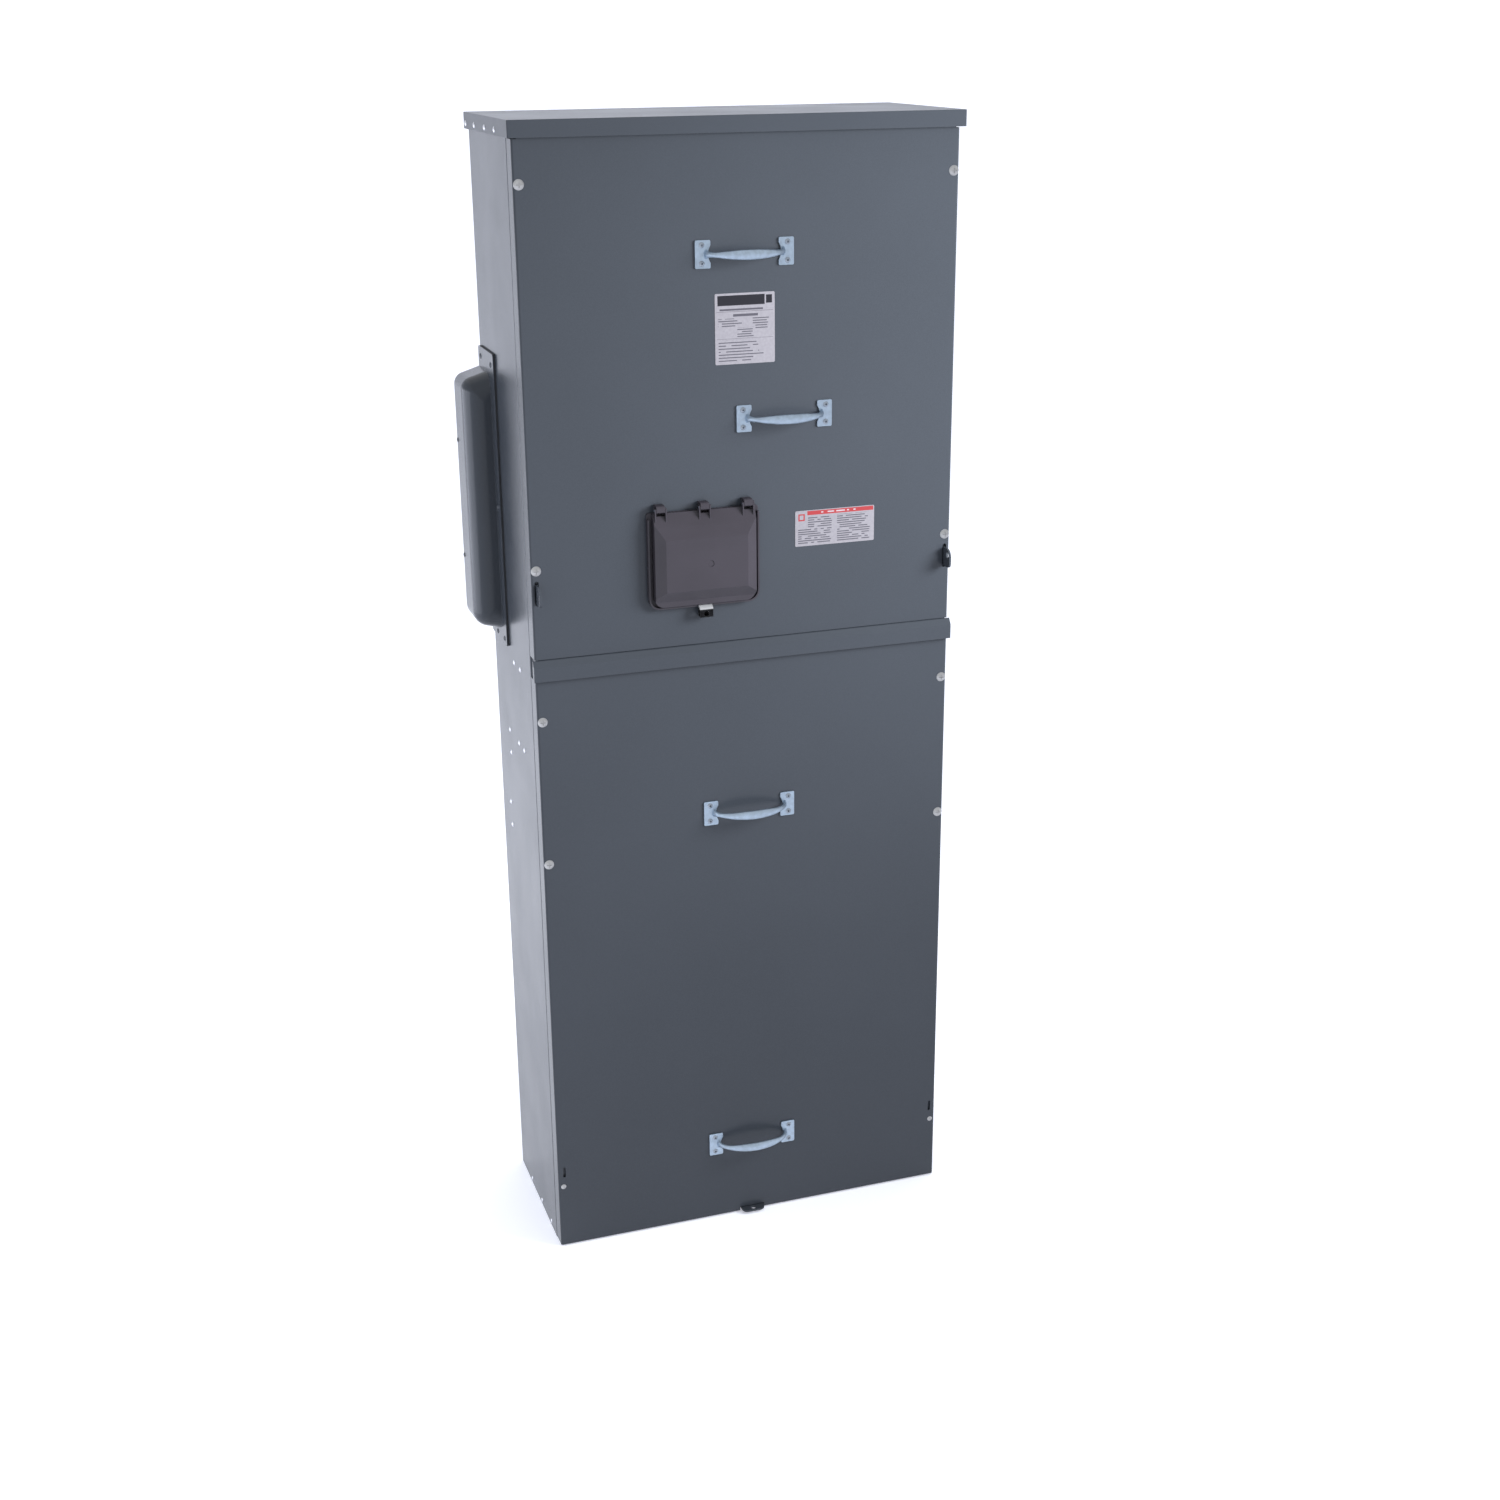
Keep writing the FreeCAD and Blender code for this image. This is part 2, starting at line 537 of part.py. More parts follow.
def divider_shelf():
    """Horizontal barrier between the compartments, with slots for the line bars and neutral."""
    points = [(BACK - SHEET - 0.2, SHELF_Z), (SHELF_FRONT, SHELF_Z),
              (SHELF_FRONT, SHELF_Z - SHELF_LIP)]
    shelf = prism(strip(points, SHEET), "yz", around(0, JOGGLE_IN - 0.2))
    pieces = [shelf]
    for side in (-1, 1):
        low, high = sorted((side * (WALL_IN - SIDE_FOOT), side * (WALL_IN - 0.2)))
        pieces.append(box((low, high), SIDE_FOOT_Y, (SHELF_Z - SHEET, SHELF_Z)))
        low, high = sorted((side * (WALL_IN - 0.2 - SHEET), side * (WALL_IN - 0.2)))
        pieces.append(box((low, high), SIDE_FOOT_Y, (SHELF_Z - SHELF_LIP, SHELF_Z)))
    cuts = [box(around(x, STRAP_HALF + 10), (STRAP_FRONT - 12, STRAP_FRONT + 18),
                (SHELF_Z - 5, SHELF_Z + 1)) for x in PHASE_X]
    cuts.append(box(around(RISER_X, 30), (BAR_FACE - 19, BAR_FACE + 10), (SHELF_Z - 5, SHELF_Z + 1)))
    cuts.extend(cross_holes(SHELF_RIVETS, -1, 3 * SHEET))
    cuts.extend(cross_holes(SHELF_RIVETS, 1, 3 * SHEET))
    return fuse(pieces).cut(cuts)


def enclosure_rivets():
    """Rivets of both side walls, of the cap and of the hood."""
    rivets = []
    for side in (-1, 1):
        for y, z in SHELF_RIVETS + CHANNEL_RIVETS + BASE_RIVETS:
            rivets.append(rivet((side * HALF, y, z), (side, 0, 0), 2 * SHEET + 1))
        for y, z in CAP_RIVETS:
            rivets.append(rivet((side * (HALF + CAP_SIDE_PROUD), y, z), (side, 0, 0),
                                CAP_SIDE_PROUD + SHEET + 1))
    for y, z in GROUND_RIVETS:
        rivets.append(rivet((-HALF, y, z), (-1, 0, 0), 2 * SHEET + 1))
    for y, z in HOOD_RIVETS:
        rivets.append(rivet((HOOD_OUT, y, z), (-1, 0, 0), HOOD_WALL + 1))
    return rivets


def upper_seal_hasps():
    """Left and right seal hasps: a foot behind the front flange and a tab through the cover."""
    hasps = []
    inside = FLANGE_FACE + SHEET
    for side in (-1, 1):
        corners = [(FRONT - HASP_REACH, HASP_SPAN[0], 7), (inside + SHEET, HASP_SPAN[0]),
                   (inside + SHEET, HASP_SPAN[1]), (FRONT - HASP_REACH, HASP_SPAN[1], 13)]
        tab = prism(corners, "yz", around(side * HASP_X, HASP_THICK / 2))
        low, high = sorted((side * (HASP_X - 18), side * HASP_X))
        foot = box((low, high), (inside, inside + SHEET), (HASP_SPAN[0], HASP_SPAN[1]))
        hole = rod((side * HASP_X - 5, FRONT - 15, HASP_HOLE_Z), (1, 0, 0), HASP_HOLE, 10)
        hasps.append(fuse([tab, foot]).cut(hole))
    return hasps


def bottom_seal_tab():
    """Flat seal tab under the raised front edge of the endwall."""
    tip = FRONT - TAB_REACH
    corners = [(-TAB_HALF, FRONT + 27), (-TAB_HALF, tip, 9), (TAB_HALF, tip, 9),
               (TAB_HALF, FRONT + 27)]
    tab = prism(corners, "xy", (5, 8))
    return tab.cut(rod((0, FRONT - 6, 0), (0, 0, 1), TAB_HOLE, 20))


# ---------------------------------------------------------------- side bus hood
def hood_outline(inset):
    """Outline of the hood seen from the front; inset is the distance inside the outer skin."""
    open_side = HOOD_FLANGE_FACE + 2.5   # a little past the flange, where the form is open
    low, high = HOOD_Z
    low_slope, high_slope = HOOD_SLOPES
    low_radius, high_radius = (max(radius - inset, HOOD_SMALLEST_RADIUS) for radius in HOOD_CORNERS)
    return [(open_side, low - low_slope + inset), (HOOD_OUT + inset, low + inset, low_radius),
            (HOOD_OUT + inset, high - inset, high_radius), (open_side, high + high_slope - inset)]


def hood_block(inset):
    """Outer or inner form of the deep-drawn hood, with the large rounding at its front."""
    radius = HOOD_FRONT_RADIUS - inset
    front = HOOD_Y[0] + inset
    rings = []
    for step in range(HOOD_RINGS):
        turn = math.radians(90 * step / (HOOD_RINGS - 1))
        outline = rounded_edges(hood_outline(inset + radius * (1 - math.cos(turn))))
        ring = Part.Wire(Part.__sortEdges__(outline))
        ring.rotate(Vector(0, 0, 0), Vector(1, 0, 0), 90)
        ring.translate(Vector(0, front + radius * (1 - math.sin(turn)), 0))
        rings.append(ring)
    nose = Part.makeLoft(rings, True)
    straight = prism(hood_outline(inset), "xz", (front + radius, HOOD_Y[1] - inset))
    return nose.fuse(straight)


def side_hood():
    """Hood over the cross bus where it leaves the left wall, with its fixing flange."""
    inner_face = HOOD_FLANGE_FACE + HOOD_WALL
    outside = box((HOOD_OUT - 5, inner_face), (FRONT, BACK), HOOD_FLANGE_Z)
    skin = hood_block(0).common(outside)
    flange = plate((HOOD_FLANGE_FACE, inner_face), HOOD_FLANGE_Y, HOOD_FLANGE_Z, 5, "yz")
    holes = [rod((-HALF - 20, y, z), (1, 0, 0), PANEL_SCREW_HOLE, 30) for y, z in HOOD_SCREWS]
    holes += [rod((HOOD_OUT - 1, y, z), (1, 0, 0), RIVET_HOLE, HOOD_WALL + 2) for y, z in HOOD_RIVETS]
    return fuse([skin, flange]).cut(hood_block(HOOD_WALL)).cut(holes)


def hood_gasket():
    """Flat rubber ring between the hood flange and the side wall."""
    ring = plate((-HALF - HOOD_GASKET, -HALF), HOOD_FLANGE_Y, HOOD_FLANGE_Z, 5, "yz")
    window = box((-HALF - 10, -HALF + 1), *GASKET_WINDOW)
    holes = [rod((-HALF - 20, y, z), (1, 0, 0), PANEL_SCREW_HOLE, 30) for y, z in HOOD_SCREWS]
    return ring.cut([window] + holes)


def panel_screws():
    """Screws of the hood flange and of the gland plate."""
    hood = [screw((HOOD_FLANGE_FACE, y, z), (-1, 0, 0), PANEL_SCREW_HEAD, PANEL_SCREW_SHANK, 5.6)
            for y, z in HOOD_SCREWS]
    floor = [screw((x, y, 2 * SHEET), (0, 0, 1), PANEL_SCREW_HEAD, PANEL_SCREW_SHANK, 3.8)
             for x, y in GLAND_SCREWS]
    return hood + floor


# ---------------------------------------------------------------- covers
def cover_pan(bottom, hinge_z, bottom_return):
    """Lift-off cover: face, two side returns and the narrower tuck along its top edge."""
    points = [(-HALF, FRONT + RETURN_DEPTH), (-HALF, FRONT), (HALF, FRONT),
              (HALF, FRONT + RETURN_DEPTH)]
    pan = prism(strip(points, COVER_SHEET), "xy", (bottom, hinge_z + 0.5))
    tuck = box(around(0, TONGUE_HALF), (FRONT, FRONT + COVER_SHEET), (hinge_z - 5, hinge_z + TONGUE))
    pieces = [pan, tuck]
    if bottom_return:
        corners = [(FRONT + 26, bottom), (FRONT + 26, bottom + COVER_SHEET),
                   (FRONT + COVER_SHEET, bottom + COVER_SHEET), (FRONT + COVER_SHEET, bottom + 6),
                   (FRONT, bottom + 6), (FRONT, bottom, BEND)]
        pieces.append(prism(corners, "yz", around(0, TONGUE_HALF)))
    return fuse(pieces)


def through_face(x, z, radius):
    """Round cutter through a cover face."""
    return rod((x, FRONT - 2, z), (0, 1, 0), radius, COVER_SHEET + 4)


def handle_rivet_points(name):
    """Centres of a handle's four rivets."""
    x, z = HANDLES[name]
    return [(x + dx, z + dz) for dx in (-HANDLE_RIVET_X, HANDLE_RIVET_X)
            for dz in (-HANDLE_RIVET_Z, HANDLE_RIVET_Z)]


def upper_cover():
    """Cover of the bus and breaker compartment."""
    cuts = [plate(around(DOOR_X, WINDOW_HALF[0]), (FRONT - 2, FRONT + 4),
                  around(DOOR_Z, WINDOW_HALF[1]), 6)]
    for side in (-1, 1):
        cuts.append(plate(around(side * HASP_X, 3), (FRONT - 2, FRONT + 4),
                          (HASP_SPAN[0] - 3, HASP_SPAN[1] + 5), 2.9))
        cuts.extend(through_face(side * HASP_X, z, SHANK_HOLE - 0.3) for z in UPPER_SCREW_Z)
    for name in ("upper_handle_top", "upper_handle_bottom"):
        cuts.extend(through_face(x, z, RIVET_HOLE) for x, z in handle_rivet_points(name))
    return cover_pan(UPPER_BOTTOM, UPPER_HINGE_Z, False).cut(cuts)


def lower_cover():
    """Cover of the cable pull compartment, with a folded bottom edge."""
    cuts = [box(around(0, TAB_HALF + 2), (FRONT - 2, FRONT + 30), (LOWER_BOTTOM - 1, 9.6))]
    for side in (-1, 1):
        cuts.append(plate(around(side * (HASP_X - 2), 2.2), (FRONT - 2, FRONT + 4), CORNER_SLOT, 2))
        cuts.extend(through_face(side * HASP_X, z, SHANK_HOLE - 0.3) for z in LOWER_SCREW_Z)
        cuts.append(through_face(side * HASP_X, SEAL_SCREW_Z, 2.4))
    for name in ("lower_handle_top", "lower_handle_bottom"):
        cuts.extend(through_face(x, z, RIVET_HOLE) for x, z in handle_rivet_points(name))
    return cover_pan(LOWER_BOTTOM, LOWER_HINGE_Z, True).cut(cuts)


def pull_handle(name):
    """Pull handle: two end plates and a bowed grip that swells in the middle."""
    x, z = HANDLES[name]
    plates = []
    for side in (-1, 1):
        low, high = sorted((side * (HANDLE_LENGTH / 2 - PLATE_WIDTH), side * HANDLE_LENGTH / 2))
        end = plate((low, high), (FRONT - PLATE_THICK, FRONT), around(0, PLATE_HEIGHT / 2), 2)
        scoop_x = side * (HANDLE_LENGTH / 2 - PLATE_WIDTH + SCOOP_DEPTH - SCOOP_RADIUS)
        scoop = rod((scoop_x, FRONT - 5, 0), (0, 1, 0), SCOOP_RADIUS, 10)
        holes = [rod((side * HANDLE_RIVET_X, FRONT - 5, dz), (0, 1, 0), RIVET_HOLE, 10)
                 for dz in (-HANDLE_RIVET_Z, HANDLE_RIVET_Z)]
        plates.append(end.cut([scoop] + holes))
    half_run = HANDLE_LENGTH / 2 - PLATE_WIDTH + GRIP_INSET
    far_half = tuple((180 - angle, tall, thick) for angle, tall, thick in GRIP_STATIONS[-2::-1])
    rings = []
    for angle, tall, thick in GRIP_STATIONS + far_half:
        turn = math.radians(angle)
        centre = Vector(half_run * math.cos(turn), FRONT - 0.4 - HANDLE_RISE * math.sin(turn), 0)
        normal = Vector(HANDLE_RISE * math.cos(turn), -half_run * math.sin(turn), 0).normalize()
        ring = Part.Ellipse(centre + Vector(0, 0, tall), centre + normal * thick, centre)
        rings.append(Part.Wire(ring.toShape()))
    grip = Part.makeLoft(rings, True)
    handle = fuse([grip] + plates)
    handle.translate(Vector(x, 0, z))
    return handle


def handle_rivets(names):
    """Hollow blind rivets of the named handles."""
    rivets = []
    for name in names:
        for x, z in handle_rivet_points(name):
            body = rivet((x, FRONT - PLATE_THICK, z), (0, -1, 0), PLATE_THICK + COVER_SHEET + 1.4)
            rivets.append(body.cut(rod((x, FRONT - 9, z), (0, 1, 0), 1.5, 8)))
    return rivets


def cover_screws(heights):
    """Captive cover screws on both edges."""
    return [screw((side * HASP_X, FRONT, z), (0, -1, 0), COVER_SCREW_HEAD, SHANK, 8)
            for side in (-1, 1) for z in heights]


def lower_seal_screws():
    """Small drilled seal screws near the bottom corners."""
    return [screw((side * HASP_X, FRONT, SEAL_SCREW_Z), (0, -1, 0), SEAL_SCREW_HEAD, 2, 7)
            for side in (-1, 1)]


# ---------------------------------------------------------------- breaker-handle door
def door_outline(half_x, low, high, top_radius, bottom_radius):
    """Outline of the frame or the lid, with larger rounding at its lower corners."""
    return [(DOOR_X - half_x, low, bottom_radius), (DOOR_X + half_x, low, bottom_radius),
            (DOOR_X + half_x, high, top_radius), (DOOR_X - half_x, high, top_radius)]


def door_frame():
    """Moulded frame: base flange, rim round the lid and three hinge lugs."""
    low, high = FRAME_Z
    base_front = FRONT - FRAME_BASE
    base = prism(door_outline(FRAME_HALF, low, high, 4, FRAME_CORNER), "xz", (base_front, FRONT))
    rim = prism(door_outline(FRAME_HALF, low, RIM_TOP, 0, FRAME_CORNER), "xz",
                (RIM_FRONT, base_front))
    room = prism(door_outline(FRAME_HALF - RIM_WALL, low + RIM_WALL, RIM_TOP + 1, 0,
                              FRAME_CORNER - RIM_WALL), "xz", (RIM_FRONT - 1, base_front))
    window = plate(around(DOOR_X, WINDOW_HALF[0] + 1), (FRONT - 3, FRONT + 1),
                   around(DOOR_Z, WINDOW_HALF[1] + 1), 6)
    hasp_gap = box(around(DOOR_X, DOOR_HASP_HALF + 1.5), (RIM_FRONT - 1, base_front),
                   (low - 1, low + 4))
    frame = fuse([base, rim.cut([room, hasp_gap])]).cut(window)
    axis_y, axis_z = DOOR_AXIS
    lug_front = axis_y - PIN_COVER
    lugs = []
    for x in LUG_X:
        corners = [(FRONT, high - 1.5), (FRONT - 3.5, high - 1.5), (lug_front, LUG_Z_SPAN[0], 3),
                   (lug_front, LUG_Z_SPAN[1], 4), (FRONT, LUG_Z_SPAN[1])]
        lugs.append(prism(corners, "yz", around(x, LUG_WIDTH / 2)))
    pins = [rod((x - LUG_WIDTH / 2 - 4, axis_y, axis_z), (1, 0, 0), PIN_RADIUS, LUG_WIDTH + 8)
            for x in LUG_X]
    return fuse([frame] + lugs).cut(pins)


def door_hinge_pins():
    """Three short hinge pins, fixed in the frame's lugs."""
    axis_y, axis_z = DOOR_AXIS
    reach = LUG_WIDTH / 2 + EAR_GAP + EAR_THICK + 0.1
    return [rod((x - reach, axis_y, axis_z), (1, 0, 0), PIN_RADIUS, 2 * reach) for x in LUG_X]


def door_gasket():
    """Foam ring between the frame and the lid's edge."""
    outline = door_outline(LID_HALF - 0.5, LID_BOTTOM + 4, LID_TOP - 6, 3, 13)
    inside = door_outline(LID_HALF - 9, LID_BOTTOM + 12, LID_TOP - 12, 3, 6)
    ring = prism(outline, "xz", (FRONT - 4, FRONT - FRAME_BASE))
    return ring.cut(prism(inside, "xz", (FRONT - 5, FRONT)))


def lid_form(inset, back):
    """Outer or inner form of the lid; inset is the distance inside the outer skin."""
    panel = LID_PANEL + inset
    top = LID_TOP - inset
    bottom = LID_BOTTOM + inset
    lip_y = LID_LIP[0] + inset
    profile = [(back, top), (RIM_FRONT + 0.6 * inset, top), (LID_RIDGE[0] + inset, LID_RIDGE[1], 2),
               (panel, LID_PANEL_Z[1], 2), (panel, LID_PANEL_Z[0], 2),
               (lip_y, LID_LIP[1] + inset, 2), (lip_y, bottom), (back, bottom)]
    body = prism(profile, "yz", around(DOOR_X, LID_HALF - inset))
    outline = door_outline(LID_HALF - inset, bottom, top, 2, 14)
    body = body.common(prism(outline, "xz", (FRONT - 40, FRONT)))
    run, rise = LID_BEVEL
    ridge_front = LID_PANEL - 0.2 + inset
    cutter_front = FRONT - 45
    bevels = []
    for side in (-1, 1):
        edge = DOOR_X + side * (LID_HALF - inset + 1)
        crest = DOOR_X + side * (LID_HALF - run)
        corners = [(edge, ridge_front + rise), (edge, cutter_front), (crest, cutter_front),
                   (crest, ridge_front)]
        bevels.append(prism(corners, "xy", (LID_BOTTOM - 5, LID_TOP + 5)))
    return body.cut(bevels)


def door_lid():
    """Moulded hinged lid with ears on both sides of each lug."""
    axis_y, axis_z = DOOR_AXIS
    shell = lid_form(0, LID_BACK).cut(lid_form(LID_WALL, LID_BACK + 1))
    notch_half = LUG_WIDTH / 2 + EAR_GAP
    notches = [box(around(x, notch_half), (LID_PANEL, FRONT), (LID_TOP - 3.5, LID_TOP + 9))
               for x in LUG_X]
    ears = []
    for x in LUG_X:
        for side in (-1, 1):
            low, high = sorted((x + side * notch_half, x + side * (notch_half + EAR_THICK)))
            corners = [(FRONT - 15.5, LID_TOP - 14), (axis_y + 3.4, LID_TOP - 6),
                       (axis_y + 3.4, axis_z + 3.2, 3), (axis_y - 3.4, axis_z + 3.2, 3),
                       (axis_y - 3.4, LID_TOP - 3, 2)]
            ears.append(prism(corners, "yz", (low, high)))
    bores = [rod((x - 12, axis_y, axis_z), (1, 0, 0), PIN_BORE, 24) for x in LUG_X]
    dimple = rod((LID_DIMPLE[0], LID_PANEL - 1, LID_DIMPLE[1]), (0, 1, 0), 5.2, 1.8)
    return fuse([shell.cut(notches)] + ears).cut(bores + door_rivet_holes() + [dimple])


def door_rivet_holes():
    """Cutters for the two hasp rivets through the hasp's foot and the lid's bottom wall."""
    return [rod((x, y, LID_BOTTOM - 5), (0, 0, 1), 1.7, 10) for x, y in DOOR_RIVETS]


def door_hasp():
    """Bent hasp plate under the lid: a foot, a sloped ledge and a drilled plate."""
    ledge = 6.0
    points = [(LID_BACK - 0.1, LID_BOTTOM), (DOOR_HASP_FACE + ledge, LID_BOTTOM),
              (DOOR_HASP_FACE, LID_BOTTOM - 1.15 * ledge), (DOOR_HASP_FACE, DOOR_HASP_BOTTOM)]
    strap = prism(strip(points, DOOR_HASP_SHEET, 0.5), "yz", around(DOOR_X, DOOR_HASP_HALF))
    hole = rod((DOOR_X, DOOR_HASP_FACE - 2, DOOR_HASP_HOLE_Z), (0, 1, 0), DOOR_HASP_HOLE, 5)
    return strap.cut([hole] + door_rivet_holes())


def door_hasp_rivets():
    """Two rivets that hold the hasp's foot to the lid."""
    rivets = []
    length = DOOR_HASP_SHEET + LID_WALL + 0.6
    for x, y in DOOR_RIVETS:
        body = dome(2.1, 1.0).fuse(rod((0, 0, -length), (0, 0, 1), 1.6, length)).removeSplitter()
        rivets.append(place(body, (x, y, LID_BOTTOM - DOOR_HASP_SHEET), (0, 0, -1)))
    return rivets


def door_staple():
    """Fixed staple on the cover, hidden behind the hasp and drilled for the same padlock."""
    foot = FRONT - STAPLE_SHEET
    leg = STAPLE_FACE + STAPLE_SHEET
    shelf = DOOR_HASP_BOTTOM + 1
    points = [(foot, FRAME_Z[0] - 0.5), (foot, shelf), (leg, shelf), (leg, DOOR_HASP_HOLE_Z + 5.1)]
    staple = prism(strip(points, STAPLE_SHEET, 0.6), "yz", around(DOOR_X, STAPLE_HALF))
    return staple.cut(rod((DOOR_X, STAPLE_FACE - 2, DOOR_HASP_HOLE_Z), (0, 1, 0), STAPLE_HOLE, 6))


# ---------------------------------------------------------------- labels
def label(x, z, thick=0.4):
    """Thin label on the upper cover."""
    return plate(x, (FRONT - thick, FRONT), z, 2)


# ---------------------------------------------------------------- breaker
def breaker_x():
    """Left and right faces of the breaker."""
    return around(DOOR_X, BREAKER_HALF_WIDTH)


def drum_room():
    """Room for the toggle's drum and its pivot pins."""
    drum_half = TOGGLE_DRUM_HALF + 2
    pin_half = TOGGLE_PIN_HALF + 2
    drum = rod((DOOR_X - drum_half, TOGGLE_AXIS_Y, DOOR_Z), (1, 0, 0), TOGGLE_DRUM + 2,
               2 * drum_half)
    pins = rod((DOOR_X - pin_half, TOGGLE_AXIS_Y, DOOR_Z), (1, 0, 0), TOGGLE_PIN + 0.05,
               2 * pin_half)
    return [drum, pins]


def terminal_wells(y):
    """Cutters for the six terminal wells, over the given (front, back) pair."""
    ends = ((BREAKER_Z[0] - 1, BREAKER_Z[0] + TERMINAL_WELL),
            (BREAKER_Z[1] - TERMINAL_WELL, BREAKER_Z[1] + 1))
    return [box(around(x, STRAP_HALF + 4), y, z) for x in PHASE_X for z in ends]


def breaker_base():
    """Rear moulding with the terminal pockets."""
    body = box(breaker_x(), (BREAKER_Y[1], BREAKER_Y[2]), BREAKER_Z)
    body = fillet_where(body, 3, lambda p: abs(p.x - DOOR_X) > BREAKER_HALF_WIDTH - 0.1 and p.y > 0
                        and abs(p.z - DOOR_Z) < 1)
    return body.cut(drum_room() + terminal_wells((BREAKER_Y[1] - 1, STRAP_FRONT + 18)))


def breaker_cover():
    """Front moulding with the terminal wells, the raised escutcheon and the toggle slot."""
    body = box(breaker_x(), (BREAKER_Y[0], BREAKER_Y[1]), BREAKER_Z)
    body = fillet_where(body, 3, lambda p: abs(p.y - BREAKER_Y[0]) < 0.01)
    raised = box(around(DOOR_X, ESCUTCHEON_HALF[0]), (ESCUTCHEON_FRONT, BREAKER_Y[0] + 1),
                 around(DOOR_Z, ESCUTCHEON_HALF[1]))
    raised = fillet_where(raised, 3, lambda p: p.y < BREAKER_Y[0] - 1)
    cuts = drum_room() + terminal_wells((BREAKER_Y[0] - 1, BREAKER_Y[1] + 1))
    cuts.append(box(around(DOOR_X, 9), (ESCUTCHEON_FRONT - 1, TOGGLE_AXIS_Y), around(DOOR_Z, 29)))
    cuts.append(rod((TRIP_X, ESCUTCHEON_FRONT - 1, TRIP_Z), (0, 1, 0), 4.3, 18))
    cuts.append(box(TRIP_UNIT_X, (BREAKER_Y[0] - 1, BREAKER_Y[0] + 12), TRIP_UNIT_Z))
    for x, z in BREAKER_SCREWS:
        cuts.append(rod((x, BREAKER_Y[0] - 1, z), (0, 1, 0), 3.2, 60))
    return fuse([body, raised]).cut(cuts)


def breaker_screws():
    """Screws through the breaker's front moulding."""
    return [screw((x, BREAKER_Y[0], z), (0, -1, 0), 5, 2.9, 50) for x, z in BREAKER_SCREWS]


def trip_unit():
    """Plug-in trip unit with two round dial wells."""
    block = box((TRIP_UNIT_X[0] + 0.3, TRIP_UNIT_X[1] - 0.3), (BREAKER_Y[0] - 3, BREAKER_Y[0] + 12),
                (TRIP_UNIT_Z[0] + 0.3, TRIP_UNIT_Z[1] - 0.3))
    block = fillet_where(block, 1.2, lambda p: abs(p.y - BREAKER_Y[0] + 3) < 0.01)
    wells = [rod((x, BREAKER_Y[0] - 4, DIAL_Z), (0, 1, 0), DIAL_RADIUS + 0.4, 8)
             for x in DIAL_X.values()]
    pivots = [rod((x, BREAKER_Y[0] - 4, DIAL_Z), (0, 1, 0), 2.05, 13) for x in DIAL_X.values()]
    return block.cut(wells + pivots)


def dial(name):
    """Adjustment dial with a screwdriver slot and a pivot stem."""
    x = DIAL_X[name]
    knob = rod((x, BREAKER_Y[0] - 5, DIAL_Z), (0, 1, 0), DIAL_RADIUS, 8.5)
    knob = fillet_where(knob, 1, lambda p: abs(p.y - BREAKER_Y[0] + 5) < 0.01)
    stem = rod((x, BREAKER_Y[0] + 3, DIAL_Z), (0, 1, 0), 2.0, 5.5)
    slot = box(around(x, 1), (BREAKER_Y[0] - 6, BREAKER_Y[0] - 3), around(DIAL_Z, 6.5))
    notch = box(around(x, 0.8), (BREAKER_Y[0] - 6, BREAKER_Y[0] - 2), (DIAL_Z + 7, DIAL_Z + 10))
    return fuse([knob, stem]).cut([slot, notch])


def trip_button():
    """Push-to-trip button in the escutcheon."""
    button = rod((TRIP_X, ESCUTCHEON_FRONT - 3, TRIP_Z), (0, 1, 0), 4.0, 15)
    return fillet_where(button, 0.8, lambda p: p.y < ESCUTCHEON_FRONT - 2.9)


def breaker_toggle():
    """Toggle lever on its drum, in the ON position."""
    drum = rod((DOOR_X - TOGGLE_DRUM_HALF, TOGGLE_AXIS_Y, DOOR_Z), (1, 0, 0), TOGGLE_DRUM,
               2 * TOGGLE_DRUM_HALF)
    back = box((DOOR_X - 40, DOOR_X + 40), (TOGGLE_AXIS_Y + 6, TOGGLE_AXIS_Y + 40),
               around(DOOR_Z, 40))
    pins = rod((DOOR_X - TOGGLE_PIN_HALF, TOGGLE_AXIS_Y, DOOR_Z), (1, 0, 0), TOGGLE_PIN,
               2 * TOGGLE_PIN_HALF)
    tip = TOGGLE_AXIS_Y - TOGGLE_TIP
    corners = [(TOGGLE_AXIS_Y - 10, DOOR_Z - 6.5), (tip, DOOR_Z - 4.5, 2), (tip, DOOR_Z + 4.5, 2),
               (TOGGLE_AXIS_Y - 10, DOOR_Z + 6.5)]
    lever = prism(corners, "yz", around(DOOR_X, 7))
    toggle = fuse([drum.cut(back), pins, lever])
    toggle.rotate(Vector(DOOR_X, TOGGLE_AXIS_Y, DOOR_Z), Vector(1, 0, 0), -TOGGLE_ON)
    return toggle


# ---------------------------------------------------------------- bus work
def bolt_holes(points, start_y):
    """Holes along Y at the given (x, z) points."""
    return [rod((x, start_y, z), (0, 1, 0), BOLT_HOLE, 30) for x, z in points]


def bar_bolt_points(name):
    """Bolts where a strap or the neutral riser lands on a cross bar."""
    x = RISER_X if name == "neutral" else PHASE_X[PHASES.index(name)]
    return [(x, BAR_Z[name] + dz) for dz in (-11.0, 11.0)]


def cross_bar(name):
    """Horizontal bus bar with splice holes at its hood end."""
    bar = plate(BAR_X, (BAR_FACE, BAR_FACE + BAR_THICK), around(BAR_Z[name], BAR_HALF), 2)
    splice = [(BAR_X[0] + 13, BAR_Z[name] + dz) for dz in (-12.0, 12.0)]
    return bar.cut(bolt_holes(bar_bolt_points(name) + splice, BAR_FACE - 10))


